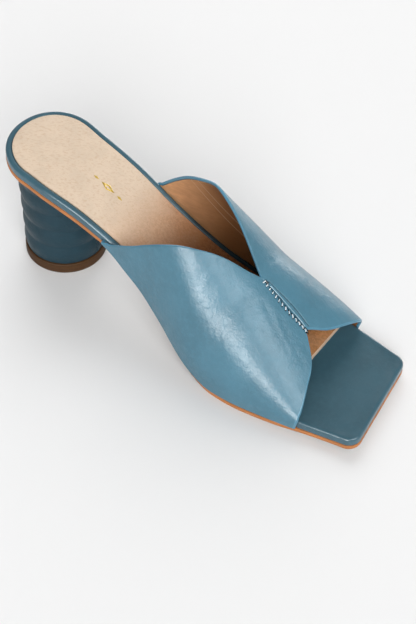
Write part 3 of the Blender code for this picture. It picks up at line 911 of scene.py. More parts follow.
class VampSurface:
    """Grid over the vamp, from the collar to the front and from the inner margin to the outer.

    It lies a depth below the outer face, or an edge depth beside the collar and the front.
    """

    def __init__(self, trim, depth, edge_depth=None):
        depths = [depth] * (VAMP_ROWS + 1)
        if edge_depth:
            for i in range(FOLD_ROWS):
                depths[i] = depths[VAMP_ROWS - i] = edge_depth
        arch_rows, low_rows = [], []
        for i, row_depth in enumerate(depths):
            inner_arch, inner_low = vamp_line(INNER, i, trim, row_depth)
            outer_arch, outer_low = vamp_line(OUTER, i, trim, row_depth)
            arch_rows.append(inner_arch[::-1] + outer_arch[1:])
            low_rows.append((inner_low[::-1], outer_low))
        self.lengths = [leather_station(INNER, i, 0.0, trim) - leather_end(INNER, "back", 0.0)
                        for i in range(VAMP_ROWS + 1)]
        self.crown = len(low_rows[0][0]) + (len(arch_rows[0]) - 1) // 2
        plain = [[point for point, crease in row] for row in arch_rows]
        normals = grid_normals(plain)
        creased = [[point + normal * crease for (point, crease), normal in zip(row, line)]
                   for row, line in zip(arch_rows, normals)]
        self.arch_normals = grid_normals(creased)
        self.low_count = len(low_rows[0][0])
        self.rows = []
        for line, normals, (inner_low, outer_low), sunk in zip(creased, self.arch_normals, low_rows, depths):
            arch = [point - normal * sunk for point, normal in zip(line, normals)]
            self.rows.append(inner_low + arch + outer_low)
        self.away = [self.distances(row) for row in self.rows]

    def distances(self, row):
        """Signed length along a row from the crown, less than 0 on the inner side."""
        away = [0.0] * len(row)
        for j in range(self.crown + 1, len(row)):
            away[j] = away[j - 1] + (row[j] - row[j - 1]).length
        for j in range(self.crown - 1, -1, -1):
            away[j] = away[j + 1] - (row[j] - row[j + 1]).length
        return away

    def raised(self, relief):
        """Rows with the arch lifted by a relief, a function of the lengths along and from the crown."""
        rows = []
        for i, row in enumerate(self.rows):
            line = list(row)
            for j, normal in enumerate(self.arch_normals[i]):
                k = j + self.low_count
                line[k] = row[k] + normal * relief(self.lengths[i], self.away[i][k])
            rows.append(line)
        return rows

    def mark(self, length, away, lift, direction):
        """Place on the face at a length along the seam and one from the crown, for a stitch or a hole.

        The direction is given as shares across and along.
        """
        row = max([n for n in range(VAMP_ROWS) if self.lengths[n] <= length], default=0)
        part = (length - self.lengths[row]) / (self.lengths[row + 1] - self.lengths[row])
        at_rows = []
        for r in (row, row + 1):
            reaches = self.away[r]
            k = max(n for n in range(len(reaches) - 1) if reaches[n] <= away)
            s = (away - reaches[k]) / (reaches[k + 1] - reaches[k])
            at_rows.append((self.rows[r][k].lerp(self.rows[r][k + 1], s), k))
        point = at_rows[0][0].lerp(at_rows[1][0], part)
        k = at_rows[0][1]
        across = (self.rows[row][k + 1] - self.rows[row][k]).normalized()
        forward = (self.rows[row + 1][k] - self.rows[row][k]).normalized()
        up = across.cross(forward).normalized()
        if up.z < 0:
            up.negate()
        heading = (across * direction[0] + forward * direction[1]).normalized()
        return {"at": point + up * lift, "up": up, "along": heading}


def grid_normals(rows):
    """Outward normal at each point of a grid."""
    normals = []
    last_row, last = len(rows) - 1, len(rows[0]) - 1
    for i, row in enumerate(rows):
        line = []
        for j in range(last + 1):
            along = rows[min(i + 1, last_row)][j] - rows[max(i - 1, 0)][j]
            across = row[min(j + 1, last)] - row[max(j - 1, 0)]
            line.append(along.cross(across).normalized() * -1.0)
        normals.append(line)
    middle = normals[last_row // 2][last // 2]
    if middle.z < 0:
        normals = [[normal * -1.0 for normal in line] for line in normals]
    return normals


def leather_shell(name, outer_rows, inner_rows, materials, edge_material, edging=None):
    """Closed sheet of leather between two grids, with rounded edges at the collar and the front.

    Edging tells the material of a face of the outer grid by its row and column.
    """
    bm = bmesh.new()
    outer = [add_line(bm, row) for row in outer_rows]
    inner = [add_line(bm, row) for row in inner_rows]
    for i, (low, high) in enumerate(zip(outer, outer[1:])):
        for j, face in enumerate(add_band(bm, low, high, closed=False)):
            if edging:
                face.material_index = edging(i, j)
    for low, high in zip(inner, inner[1:]):
        add_band(bm, low, high, closed=False, material=edge_material)
    rims = []
    for end, beside in ((0, 1), (len(outer) - 1, len(outer) - 2)):
        lines = [outer[end]]
        for step in range(1, EDGE_ROUND_STEPS):
            angle = math.pi * step / EDGE_ROUND_STEPS
            line = []
            for j, top in enumerate(outer_rows[end]):
                bottom = inner_rows[end][j]
                middle, half = (top + bottom) / 2, (top - bottom) / 2
                out = (top - outer_rows[beside][j]).normalized()
                line.append(middle + half * math.cos(angle) + out * half.length * math.sin(angle))
            lines.append(add_line(bm, line))
        lines.append(inner[end])
        for k, (low, high) in enumerate(zip(lines, lines[1:])):
            add_band(bm, low, high, closed=False, material=edge_material if k else 0)
        rims.append(lines)
    for column in (0, len(outer[0]) - 1):
        for i in range(len(outer) - 1):
            bm.faces.new((outer[i][column], outer[i + 1][column], inner[i + 1][column], inner[i][column]))
        for lines in rims:
            bm.faces.new([line[column] for line in lines])
    bmesh.ops.remove_doubles(bm, verts=bm.verts, dist=0.000001)
    turn_outwards(bm)
    return piece_of(at_shoe(mesh_of(bm, name)), materials, smooth_angle=50.0)


def length_setting(name, description, default, **limits):
    return FloatProperty(name=name, description=description, default=default, unit="LENGTH", **limits)


def angle_setting(name, description, degrees):
    return FloatProperty(name=name, description=description, default=math.radians(degrees), subtype="ANGLE")


def colour_setting(name, description, default):
    return FloatVectorProperty(name=name, description=description, default=default, subtype="COLOR", size=3)


class MULE_PG_vamp(bpy.types.PropertyGroup):
    """Sizes and colours of the folded vamp"""
    thickness: length_setting("Leather Thickness", "Thickness of the blue leather",
                              0.0010, min=0.0006, max=0.0014)
    fold: length_setting("Fold", "Width of the edge folded in over the lining", 0.0011)
    welt_height: length_setting("Welt Height", "How far the welt stands up beside the seam", 0.0010)
    welt_start: length_setting("Welt Start", "From the crown line to the welt", -0.0005)
    welt_width: length_setting("Welt Width", "Width of the welt", 0.0032)
    leather: colour_setting("Leather", "Colour of the vamp's leather", (0.068, 0.186, 0.257))
    edge: colour_setting("Edge", "Colour of the painted edges", (0.088, 0.245, 0.355))
    # The crest colour is a painted highlight along the welt's crest.
    crest: colour_setting("Crest", "Colour of the welt's highlit crest", (0.38, 0.54, 0.62))
    lining: colour_setting("Lining", "Colour of the lining", (0.64, 0.34, 0.165))


class MULE_PG_seam(bpy.types.PropertyGroup):
    """Sizes of the seam's stitches and needle holes"""
    pitch: length_setting("Pitch", "Distance between stitches", 0.0018)
    distance: length_setting("Distance", "From the crown line to the middle of the stitches", 0.0017)
    width: length_setting("Width", "From hole to hole across the seam", 0.0013)
    thread: length_setting("Thread", "Thickness of the thread", 0.00056)
    hole: length_setting("Hole", "Radius of a needle hole", 0.00042)
    start: length_setting("Start", "From the collar to the bar tack, along the shoe", 0.0036)
    end: length_setting("End", "From the last stitch to the front edge", 0.0010)
    seed: IntProperty(name="Seed", description="Seed of the stitches' small differences", default=7)
    colour: colour_setting("Thread Colour", "Colour of the thread", (0.80, 0.88, 0.92))


class MULE_PG_sole(bpy.types.PropertyGroup):
    """Colours of the sole, the footbed and the sock"""
    sole: colour_setting("Sole Edge", "Colour of the sole's dyed edge", (0.48, 0.175, 0.048))
    tread: colour_setting("Sole", "Colour of the sole's underside", (0.34, 0.29, 0.25))
    cover: colour_setting("Footbed Cover", "Colour of the footbed's cover", (0.044, 0.108, 0.143))
    sock: colour_setting("Sock", "Colour of the sock at the seat", (0.65, 0.52, 0.395))
    # The sock front colour is partly the sock's own brown and partly painted shade under the vamp.
    sock_front: colour_setting("Sock Front", "Colour of the sock under the vamp", (0.66, 0.30, 0.115))
    sock_crown: length_setting("Sock Crown", "Swell of the padded sock at its middle", 0.0004)
    foil: colour_setting("Foil", "Colour of the stamped ornament", (0.56, 0.38, 0.06))
    ornament: length_setting("Ornament", "Length of the middle lozenge", 0.0085)


class MULE_PG_heel(bpy.types.PropertyGroup):
    """Sizes and colours of the wrapped heel and its tip"""
    waves: IntProperty(name="Waves", description="Soft rings round the heel", default=5, min=1, max=12)
    wave_depth: length_setting("Wave Depth", "Depth of the valleys between the rings", 0.0010)
    head_radius: length_setting("Head Radius", "Radius under the seat", 0.0242)
    foot_radius: length_setting("Foot Radius", "Radius above the tip", 0.0226)
    waist: length_setting("Waist", "How much slimmer the middle is", 0.0004)
    # The heel's colour is the vamp's blue leather darkened far, as painted shade.
    cover: colour_setting("Cover", "Colour of the heel's leather", (0.014, 0.040, 0.056))
    tip: colour_setting("Tip", "Colour of the stacked leather tip", (0.060, 0.027, 0.009))


class MULE_PG_stage(bpy.types.PropertyGroup):
    """Floor, lights and camera"""
    floor: colour_setting("Floor", "Colour of the floor", (0.85, 0.85, 0.85))
    azimuth: angle_setting("Azimuth", "Direction that the camera looks from", -56.16)
    elevation: angle_setting("Elevation", "Camera's angle above the floor", 48.3)
    roll: angle_setting("Roll", "Camera's roll", 1.79)
    distance: length_setting("Distance", "From the camera to its target", 0.7832)
    lens: FloatProperty(name="Lens", description="Focal length", default=86.37, unit="CAMERA")
    walls: FloatProperty(name="Walls", description="Brightness of the studio's walls", default=0.60)
    ceiling: FloatProperty(name="Ceiling", description="Brightness of the studio's ceiling", default=0.18)
    key: FloatProperty(name="Key", description="Strength of the main light from the inner side",
                       default=2.7)
    back: FloatProperty(name="Back", description="Strength of the light from the outer side", default=1.55)
    side: FloatProperty(name="Side", description="Strength of the light from the toe", default=0.42)
    window: FloatProperty(name="Window", description="Power of the softbox mirrored at the inner side",
                          default=20.0, unit="POWER")
    side_window: FloatProperty(name="Side Window", description="Power of the softbox mirrored by the seam",
                               default=11.0, unit="POWER")
    far_window: FloatProperty(name="Far Window", description="Power of the wall mirrored by the outer flap",
                              default=18.0, unit="POWER")


class MULE_OT_outsole(bpy.types.Operator):
    """Thin leather sole with a smooth cut edge"""
    bl_idname = "mule.outsole"
    bl_label = "Build Outsole"

    def execute(self, context):
        thick = OUTSOLE_THICKNESS
        profile = ((0.00050, 0.0), (0.00018, 0.00012), (0.0, 0.00045), (-0.00004, thick / 2),
                   (0.0, thick - 0.00025), (0.00012, thick - 0.00006), (0.00040, thick))
        bm = bmesh.new()
        lines = []
        for inset, lift in profile:
            line = ring(lambda side, station: inset - overhang(side, station), lift, underside)
            lines.append(add_line(bm, line))
        add_bands(bm, lines)
        add_crosswise_cap(bm, lines[0])
        add_crosswise_cap(bm, lines[-1])
        turn_outwards(bm)
        for face in bm.faces:
            if face.normal.z < -0.8:
                face.material_index = 1
        colours = context.scene.mule_sole
        looks = [sole_leather("sole edge", colours.sole), sole_leather("sole leather", colours.tread)]
        piece = piece_of(at_shoe(mesh_of(bm, "outsole_leather")), looks)
        join_shoe(piece, "outsole", "outsole")
        return {"FINISHED"}


class MULE_OT_heel(bpy.types.Operator):
    """Wrapped heel with soft rings, its cover's seam at the front, and the tip under it"""
    bl_idname = "mule.heel"
    bl_label = "Build Heel"

    def execute(self, context):
        sizes = context.scene.mule_heel
        # The heel's dark cover colour is painted shade.
        cover = calf_leather("heel leather", sizes.cover, roughness=0.46, gloss=0.14, coat_weight=0.10,
                             coat_roughness=0.35)
        values = {
            "Sole": bpy.data.objects["outsole_leather"], "Columns": 240, "Rows": 96, "Material": cover,
            "Foot Radius": sizes.foot_radius, "Head Radius": sizes.head_radius, "Waist": sizes.waist,
            "Waves": float(sizes.waves), "Wave Depth": sizes.wave_depth, "Softness": 0.012,
            "Seam Ridge": 0.00022, "Ridge Width": 0.0016, "Groove Width": 0.0006, "Base": HEEL_BASE,
            "Head": HEEL_RISE, "Room": CLEARANCE / 3, "Centre X": MIDDLE, "Centre Y": HEEL_CENTRE_Y,
        }
        mesh = heel_nodes().build("heel_cover", bpy.data.meshes.new("empty"), values)
        piece = piece_of(mesh, [cover])
        join_shoe(piece, "heel_cover", "heel")
        self.sew_cover(context, piece)
        self.add_tip(context)
        return {"FINISHED"}

    def sew_cover(self, context, cover):
        """Whip stitches up the front of the heel, where the cover's edges meet."""
        seam = context.scene.mule_seam
        marks = []
        pitch = 0.0024
        height = HEEL_BASE + pitch
        while True:
            start = Vector((MIDDLE, HEEL_CENTRE_Y - 0.05, height))
            found, place, normal, face = cover.ray_cast(start, Vector((0.0, 1.0, 0.0)))
            if not found or normal.y > -0.5:
                break
            along = Vector((1.0, 0.0, 0.45)).normalized()
            marks.append({"at": place + normal * 0.0001, "up": normal.copy(), "along": along})
            height += pitch
        thread = thread_finish("heel thread", toned(context.scene.mule_heel.cover, 1.6))
        values = {"Length": pitch, "Height": 0.00018, "Thickness": 0.00050, "Jitter": 0.08,
                  "Seed": seam.seed, "Material": thread}
        mesh = stitch_nodes().build("heel_seam_stitches", marks_mesh("marks", marks), values)
        join_shoe(piece_of(mesh, [thread]), "heel_cover")

    def add_tip(self, context):
        """Stacked leather tip with softened edges."""
        radius, height = TOP_PIECE_RADIUS, TOP_PIECE_HEIGHT
        profile = [(radius - 0.0007, 0.0), (radius - 0.0002, 0.00015), (radius, 0.0006)]
        profile += [(radius + 0.00008 * math.sin(math.pi * i / 6), 0.0006 + (height - 0.0010) * i / 6)
                    for i in range(1, 6)]
        profile += [(radius, height - 0.0004), (radius - 0.0002, height - 0.0001), (radius - 0.0006, height)]
        bm = bmesh.new()
        lines = []
        steps = 144
        for reach, z in profile:
            line = [Vector((MIDDLE + reach * math.cos(math.tau * i / steps),
                            HEEL_CENTRE_Y + reach * math.sin(math.tau * i / steps), z)) for i in range(steps)]
            lines.append(add_line(bm, line))
        add_bands(bm, lines)
        bm.faces.new(lines[0])
        bm.faces.new(lines[-1])
        turn_outwards(bm)
        tip = stacked_leather("stacked leather", context.scene.mule_heel.tip)
        join_shoe(piece_of(mesh_of(bm, "heel_tip"), [tip]), "top_piece", "top_piece")


class MULE_OT_footbed(bpy.types.Operator):
    """Leather-covered footbed with a rounded rim and a smooth platform for the toes"""
    bl_idname = "mule.footbed"
    bl_label = "Build Footbed"

    def execute(self, context):
        thick, radius = FOOTBED_THICKNESS, RIM_RADIUS

        def notch(side, station):
            back, front = margin_ends(side)
            return UPPER_WALL * stretch(station) + CLEARANCE if back <= station <= front else 0.0

        inside = MARGIN_WIDTH + UPPER_WALL
        rows = [
            (inside, 0.0),
            (inside, notch),
            (0.0003, notch),
            (0.0, lambda side, at: notch(side, at) + 0.0003),
            (-0.0001, (thick - radius) * 0.7),
        ]
        for i in range(RIM_STEPS + 1):
            angle = math.pi / 2 * i / RIM_STEPS
            rows.append((radius * (1 - math.cos(angle)), thick - radius * (1 - math.sin(angle))))
        rows.append((0.0021, thick - 0.00003))
        bm = bmesh.new()
        lines = [add_line(bm, ring(inset, lift, footbed_base)) for inset, lift in rows]
        add_bands(bm, lines)
        add_crosswise_cap(bm, lines[0])
        self.add_recess(bm, lines[-1])
        turn_outwards(bm)
        colour = context.scene.mule_sole.cover
        # The dark stations paint shade on the cover under the vamp.
        cover = calf_leather("footbed leather", colour, roughness=0.34, gloss=0.3, grain=0.3,
                             coat_weight=0.45, coat_roughness=0.22, dark_station=(0.086, 0.172))
        piece = piece_of(at_shoe(mesh_of(bm, "footbed_cover")), [cover])
        join_shoe(piece, "footbed_cover", "footbed")
        return {"FINISHED"}

    def add_recess(self, bm, lip):
        """Bed for the sock, and the platform ahead of it, inside the rim's lip."""
        front = SOCK_FRONT * LENGTH
        depth = SOCK_THICKNESS + CLEARANCE
        bed = [add_line(bm, ring(inset, -lift, footbed_top, front=front)) for inset, lift in
               ((0.0027, 0.0002), (0.0031, 0.0005), (RIM_WIDTH, depth))]
        platform = [add_line(bm, ring(inset, -lift, footbed_top, front=front, ahead=True)) for inset, lift in
                    ((0.0030, 0.00012), (0.0042, 0.00025), (0.0065, 0.00034))]
        count, side_count = len(bed[0]), len(bed[0]) // 2
        lip_seat = lip[:side_count + 1] + lip[len(lip) - side_count:]
        lip_front = lip[side_count:len(lip) - side_count + 1]
        for low, high in zip([lip_seat] + bed, bed):
            for i in range(count):
                if i != side_count:
                    bm.faces.new((low[i], low[(i + 1) % count], high[(i + 1) % count], high[i]))
        for low, high in zip([lip_front] + platform, platform):
            add_band(bm, low, high, closed=False)
        last = len(platform[-1]) - 1
        top = platform[-1]
        for i in range(last // 2):
            bm.faces.new((top[i], top[i + 1], top[last - i - 1], top[last - i]))
        k = side_count
        wall = [lip_front[0]] + [line[0] for line in platform] + [line[-1] for line in platform[::-1]]
        wall += [lip_front[-1]] + [line[k + 1] for line in bed] + [line[k] for line in bed[::-1]]
        bm.faces.new(wall)
        add_crosswise_cap(bm, bed[-1])


class MULE_OT_sock(bpy.types.Operator):
    """Pale sock in the footbed, with a cut edge and a small stamped ornament"""
    bl_idname = "mule.sock"
    bl_label = "Build Sock"

    def execute(self, context):
        colours = context.scene.mule_sole
        front = SOCK_FRONT * LENGTH
        gap = RIM_WIDTH + CLEARANCE
        bm = bmesh.new()
        lines = [add_line(bm, ring(inset, lift, footbed_top, front=front)) for inset, lift in
                 ((gap, -SOCK_THICKNESS), (gap, 0.0), (gap + 0.00012, 0.00010), (gap + 0.00045, 0.00014))]
        add_bands(bm, lines)
        add_crosswise_cap(bm, lines[0])
        self.add_top(bm, lines[-1], colours.sock_crown)
        foremost = min(vert.co.y for vert in bm.verts)
        for face in bm.faces:
            # Paler band at the sock's front edge: partly the cut edge's own colour, partly painted highlight.
            face.material_index = int(face.calc_center_median().y < foremost + 1.6 * SOCK_EDGE)
        turn_outwards(bm)
        skin = pigskin("pigskin", colours.sock, colours.sock_front)
        cut = lining_leather("cut edge", (0.82, 0.62, 0.46), painted_shade=False)
        piece = piece_of(at_shoe(mesh_of(bm, "sock_lining")), [skin, cut])
        join_shoe(piece, "sock", "sock")
        self.stamp(colours, piece)
        return {"FINISHED"}

    def add_top(self, bm, rim, crown):
        """Top face in steps from side to side, a little swollen in the middle."""
        steps = 12
        count = len(rim)
        previous = None
        for i in range(1, count // 2 + 1):
            left, right = rim[i], rim[count - i]
            line = [left]
            for k in range(1, steps):
                share = k / steps
                point = left.co.lerp(right.co, share)
                point.z += crown * (1 - (2 * share - 1) ** 4) * smooth_step((i - 1) / 12)
                line.append(bm.verts.new(point))
            line.append(right)
            if previous is None:
                bm.faces.new([rim[0]] + line)
            else:
                for k in range(steps):
                    bm.faces.new((previous[k], previous[k + 1], line[k + 1], line[k]))
            previous = line

    def stamp(self, colours, sock):
        """Row of gold lozenges along the middle of the seat."""
        bm = bmesh.new()
        centre, gap, small, slim, hollow = 0.060, 0.0032, 0.42, 0.42, 0.45
        half = colours.ornament / 2
        for offset, reach in ((0.0, half), (half + gap, half * small), (-half - gap, half * small)):
            corners = [(0.0, reach), (reach * slim, 0.0), (0.0, -reach), (-reach * slim, 0.0)]
            inner = [(x * hollow, y * hollow) for x, y in corners]
            outer_line = self.pressed(bm, sock, corners, centre + offset)
            inner_line = self.pressed(bm, sock, inner, centre + offset)
            add_band(bm, outer_line, inner_line)
            if reach != half:
                bm.faces.new(inner_line)
        gold = gold_foil("gold foil", colours.foil)
        piece = piece_of(mesh_of(bm, "sock_ornament"), [gold])
        foil = piece.modifiers.new("Foil", "SOLIDIFY")
        foil.thickness = 0.00004
        foil.offset = 1.0
        join_shoe(piece, "sock")

    def pressed(self, bm, sock, corners, station):
        """Closed line of points laid on the sock."""
        line = []
        above = Vector((MIDDLE, SEAT_BACK - station, 0.2))
        corners = [above + Vector((x, y, 0.0)) for x, y in corners]
        for corner, following in zip(corners, corners[1:] + corners[:1]):
            for share in (0.0, 0.25, 0.5, 0.75):
                start = corner.lerp(following, share)
                found, place, normal, face = sock.ray_cast(start, Vector((0.0, 0.0, -1.0)))
                if not found:
                    raise RuntimeError("the ornament is off the sock")
                line.append(bm.verts.new(place + normal * 0.00002))
        return line


class MULE_OT_vamp(bpy.types.Operator):
    """Folded vamp with its lining, the welt beside the seam and the stitches"""
    bl_idname = "mule.vamp"
    bl_label = "Build Vamp"

    def execute(self, context):
        sizes, seam = context.scene.mule_vamp, context.scene.mule_seam
        leather = calf_leather("vamp leather", sizes.leather)
        edge = calf_leather("edge paint", sizes.edge, roughness=0.36, grain=0.4)
        lining = lining_leather("lining leather", sizes.lining)
        cut = lining_leather("lining edge", toned(sizes.lining, 1.25), painted_shade=False)
        seam_length = leather_end(INNER, "front", 0.0) - leather_end(INNER, "back", 0.0)
        radius = (UPPER_WALL - GLUE) / 2
        outer = VampSurface(radius, 0.0)
        inner = VampSurface(radius, sizes.thickness, edge_depth=UPPER_WALL - GLUE)
        holes = self.hole_places(seam, seam_length)

        welt_ends = seam.start + WELT_AFTER_TACK, seam_length - WELT_BEFORE_FRONT

        def relief(length, away):
            """Height of the welt, less the groove before it and the sunk row of stitches."""
            if abs(away) > RELIEF_REACH:
                return 0.0
            height = self.welt(sizes, length, away, *welt_ends)
            groove = bell(away - sizes.welt_start + 0.0001, GROOVE_WIDTH)
            height -= GROOVE_DEPTH * groove * smooth_step((length - 0.001) / 0.002)
            sunk = smooth_step((length - seam.start) / 0.001) * smooth_step((seam_length - length) / 0.001)
            height -= ROW_DEPTH * bell(away + seam.distance, seam.width * 0.75) * sunk
            for hole_length, hole_away in holes:
                off_hole = math.hypot(length - hole_length, away - hole_away)
                if off_hole < 3.6 * seam.hole:
                    height -= PIT_DEPTH * bell(off_hole, 1.2 * seam.hole)
            return height

        def edging(row, column):
            """Material of a face: plain leather, edge paint at the front, the welt's crest with a painted
            highlight, or its folds with painted shade.
            """
            off_crest = outer.away[row][column] - sizes.welt_start
            if row == VAMP_ROWS - 1 and abs(off_crest) > 0.0012:
                return 1
            if not welt_ends[0] + 0.0003 < outer.lengths[row] < welt_ends[1] - 0.0004:
                return 0
            # Painted shade in the folds on both sides of the welt.
            if -0.00035 < off_crest < 0.00012 or 0.96 < off_crest / sizes.welt_width < 1.14:
                return 3
            # Painted highlight along the welt's crest.
            return 2 if 0.00015 < off_crest < 0.00038 else 0

        # Painted highlight: the welt's crest in a light blue.
        crest = calf_leather("welt crest", sizes.crest, roughness=0.36, grain=0.4)
        # Painted shade: darker leather in the folds beside the welt.
        fold_shade = calf_leather("fold leather", toned(sizes.leather, 0.60), gloss=0.1, coat_weight=0.0)
        looks = [leather, edge, crest, fold_shade]
        vamp = leather_shell("vamp_leather", outer.raised(relief), inner.rows, looks, 1, edging)
        join_shoe(vamp, "upper", "upper")
        trim = radius + sizes.fold
        face = VampSurface(trim, sizes.thickness + GLUE)
        back = VampSurface(trim, UPPER_WALL)
        join_shoe(leather_shell("vamp_lining", back.rows, face.rows, [lining, cut], 0), "upper")
        self.sew(context, outer, seam, seam_length, holes)
        return {"FINISHED"}

    def welt(self, sizes, length, away, start, end):
        """Height of the rounded welt: a sharp crest beside the seam and a step down to the outer flap."""
        across = (away - sizes.welt_start) / sizes.welt_width
        if not (0.0 < across < 1.25 and start < length < end):
            return 0.0
        ends = min(length - start, end - length) / 0.0011
        round_end = math.sqrt(1 - (1 - min(ends, 1.0)) ** 2)
        crest = smooth_step(across / 0.10) * (1.0 - 0.30 * across)
        step = 1.0 - smooth_step((across - 0.62) / 0.38)
        groove = 0.50 * bell(across - 1.02, 0.13)
        return sizes.welt_height * (crest * step - groove) * round_end

    def hole_places(self, seam, seam_length):
        """Needle holes as lengths along the seam and from the crown line."""
        first, last = seam.start + seam.pitch * 0.4, seam_length - seam.end
        count = round((last - first) / seam.pitch)
        pitch = (last - first) / count
        places = []
        for i in range(count + 1):
            length = first + pitch * i
            places.append((length, -seam.distance - seam.width / 2))
            places.append((length - 0.55 * pitch, -seam.distance + seam.width / 2))
        return places

    def sew(self, context, surface, seam, seam_length, holes):
        """Slanted stitches beside the welt, a bar tack at each end, and the needle holes."""
        stitches, pits = [], []
        slant = holes[1][0] - holes[0][0], holes[1][1] - holes[0][1]
        for left, right in zip(holes[::2], holes[1::2]):
            length, away = (left[0] + right[0]) / 2, (left[1] + right[1]) / 2
            stitches.append(surface.mark(length, away, 0.0, (slant[1], slant[0])))
            pits += [surface.mark(at, off, -0.00012, (1.0, 0.0)) for at, off in (left, right)]
        tacks = []
        for start, away in ((seam.start + 0.0002, 0.0004), (seam_length - seam.end * 0.8, -0.0010)):
            for i in range(3):
                tacks.append(surface.mark(start + 0.00065 * (i - 1), away, 0.0, (1.0, 0.1 * (i - 1))))
                for end in (-0.0008, 0.0, 0.0008):
                    pits.append(surface.mark(start + 0.00065 * (i - 0.5), away + end, 0.00008, (1.0, 0.0)))
        thread = thread_finish("seam thread", seam.colour)
        values = {"Length": math.hypot(*slant) - 0.0001, "Height": 0.00032, "Thickness": seam.thread,
                  "Jitter": 0.12, "Seed": seam.seed, "Material": thread}
        nodes = stitch_nodes()
        row = nodes.build("seam_stitches", marks_mesh("marks", stitches), values)
        values.update({"Length": 0.0013, "Height": 0.00012, "Thickness": seam.thread * 0.32})
        ends = nodes.build("seam_tacks", marks_mesh("marks", tacks), values)
        # The needle holes' near-black colour is painted shade.
        dark = dark_hole("needle holes", (0.006, 0.008, 0.010))
        values = {"Radius": seam.hole, "Material": dark}
        deep = hole_nodes().build("seam_holes", marks_mesh("marks", pits), values)
        for mesh, look in ((row, thread), (ends, thread), (deep, dark)):
            join_shoe(piece_of(at_shoe(mesh), [look]), "upper")


SUNS = table(
    "name heading height softness",
    ("key", 222.0, 33.0, 45.0),
    ("back", 38.0, 40.0, 50.0),
    ("side", 300.0, 42.0, 40.0),
)
WINDOWS = table(
    "name heading height size",
    ("window", 195.0, 25.0, (0.60, 0.42)),
    ("side_window", 258.0, 46.0, (0.80, 0.50)),
    ("far_window", 20.0, 6.0, (1.30, 0.45)),
)


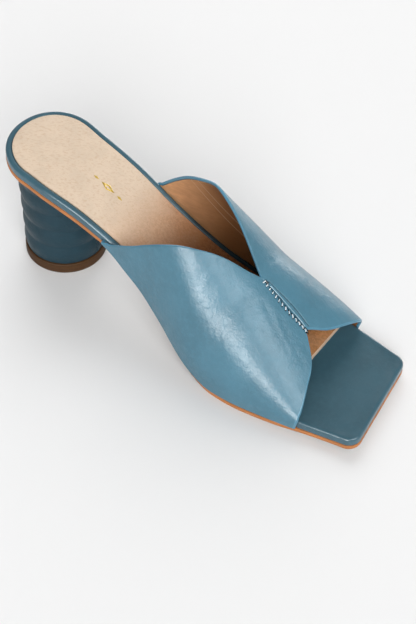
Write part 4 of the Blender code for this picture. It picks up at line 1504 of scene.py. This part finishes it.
class MULE_OT_stage(bpy.types.Operator):
    """Pale floor, soft lights and the camera"""
    bl_idname = "mule.stage"
    bl_label = "Set Up Stage"

    def execute(self, context):
        stage = context.scene.mule_stage
        self.add_floor(stage)
        self.add_surroundings(context, stage)
        for sun in SUNS:
            self.add_sun(**sun, strength=getattr(stage, sun["name"]))
        for window in WINDOWS:
            self.add_window(**window, power=getattr(stage, window["name"]))
        self.add_camera(context, stage)
        return {"FINISHED"}

    def add_floor(self, stage):
        bm = bmesh.new()
        bmesh.ops.create_grid(bm, x_segments=2, y_segments=2, size=4.0)
        look = Look("floor", stage.floor, 0.8, specular_ior_level=0.2)
        look.paint(look.clouds(stage.floor, 0.995, 1.0, 0.5))
        piece_of(mesh_of(bm, "floor"), [look.material])

    def add_surroundings(self, context, stage):
        """White studio walls that darken towards the ceiling."""
        world = bpy.data.worlds.new("studio")
        world.use_nodes = True
        nodes = Nodes()
        nodes.tree = world.node_tree
        height = nodes.parts(nodes.add("ShaderNodeTexCoord").outputs["Generated"])[2]
        fade = nodes.add("ShaderNodeMapRange", {"Value": height, "From Min": 0.05, "From Max": 0.45,
                                                "To Min": stage.walls, "To Max": stage.ceiling})
        background = nodes.tree.nodes["Background"].inputs
        nodes.put(background["Strength"], fade.outputs[0])
        background["Color"].default_value = (1.0, 1.0, 1.0, 1.0)
        world.cycles_visibility.glossy = False
        context.scene.world = world
        context.scene.view_settings.view_transform = "Standard"

    def add_sun(self, name, heading, height, softness, strength):
        """Even soft light from a direction given by two angles in degrees; its mirror image is left out."""
        light = bpy.data.lights.new(name, "SUN")
        light.angle = math.radians(softness)
        light.energy = strength
        lamp = self.place_light(light, self.direction(heading, height))
        lamp.visible_glossy = False

    def add_window(self, name, heading, height, size, power):
        """Softbox that shows in the gloss alone, in a direction given by two angles in degrees."""
        light = bpy.data.lights.new(name, "AREA")
        light.shape = "RECTANGLE"
        light.size, light.size_y = size
        light.energy = power
        lamp = self.place_light(light, self.direction(heading, height))
        lamp.visible_diffuse = False

    def direction(self, heading, height):
        heading, height = math.radians(heading), math.radians(height)
        level = math.cos(height)
        return Vector((math.cos(heading) * level, math.sin(heading) * level, math.sin(height)))

    def place_light(self, light, away):
        lamp = bpy.data.objects.new(light.name, light)
        bpy.context.scene.collection.objects.link(lamp)
        lamp.location = away * 1.3 + Vector((0.0, 0.0, 0.03))
        lamp.rotation_euler = away.to_track_quat("Z", "Y").to_euler()
        return lamp

    def add_camera(self, context, stage):
        """Camera from its azimuth, elevation, roll and distance to a point in the shoe."""
        camera = bpy.data.objects.new("camera", bpy.data.cameras.new("camera"))
        context.scene.collection.objects.link(camera)
        back = self.direction(math.degrees(stage.azimuth) - 90.0, math.degrees(stage.elevation))
        right = Vector((0.0, 0.0, 1.0)).cross(back).normalized()
        up = back.cross(right)
        turned_right = right * math.cos(stage.roll) + up * math.sin(stage.roll)
        turned_up = up * math.cos(stage.roll) - right * math.sin(stage.roll)
        target = Vector((MIDDLE - 0.0098, SEAT_BACK - 0.1321, 0.020))
        pose = Matrix((turned_right, turned_up, back)).transposed().to_4x4()
        pose.translation = target + back * stage.distance
        camera.matrix_world = pose
        camera.data.lens = stage.lens
        context.scene.camera = camera


class MULE_PT_panel(bpy.types.Panel):
    """Lists the steps that build the mule"""
    bl_label = "Heeled Mule"
    bl_idname = "MULE_PT_panel"
    bl_space_type = "VIEW_3D"
    bl_region_type = "UI"
    bl_category = "Mule"

    def draw(self, context):
        for operator in OPERATORS:
            self.layout.operator(operator.bl_idname)
        for key in GROUPS:
            box = self.layout.box()
            group = getattr(context.scene, key)
            box.label(text=key.replace("mule_", "").title())
            for name in group.bl_rna.properties.keys():
                if name not in ("rna_type", "name"):
                    box.prop(group, name)


GROUPS = {
    "mule_vamp": MULE_PG_vamp,
    "mule_seam": MULE_PG_seam,
    "mule_sole": MULE_PG_sole,
    "mule_heel": MULE_PG_heel,
    "mule_stage": MULE_PG_stage,
}
OPERATORS = (MULE_OT_stage, MULE_OT_outsole, MULE_OT_heel, MULE_OT_footbed, MULE_OT_sock, MULE_OT_vamp)


def register():
    for group in GROUPS.values():
        bpy.utils.register_class(group)
    for key, group in GROUPS.items():
        setattr(bpy.types.Scene, key, bpy.props.PointerProperty(type=group))
    for operator in OPERATORS:
        bpy.utils.register_class(operator)
    bpy.utils.register_class(MULE_PT_panel)


def unregister():
    bpy.utils.unregister_class(MULE_PT_panel)
    for operator in reversed(OPERATORS):
        bpy.utils.unregister_class(operator)
    for key in GROUPS:
        delattr(bpy.types.Scene, key)
    for group in GROUPS.values():
        bpy.utils.unregister_class(group)


def main():
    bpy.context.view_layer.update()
    register()
    bpy.ops.mule.stage()
    bpy.ops.mule.outsole()
    bpy.ops.mule.heel()
    bpy.ops.mule.footbed()
    bpy.ops.mule.sock()
    bpy.ops.mule.vamp()


if __name__ == "__main__":
    main()
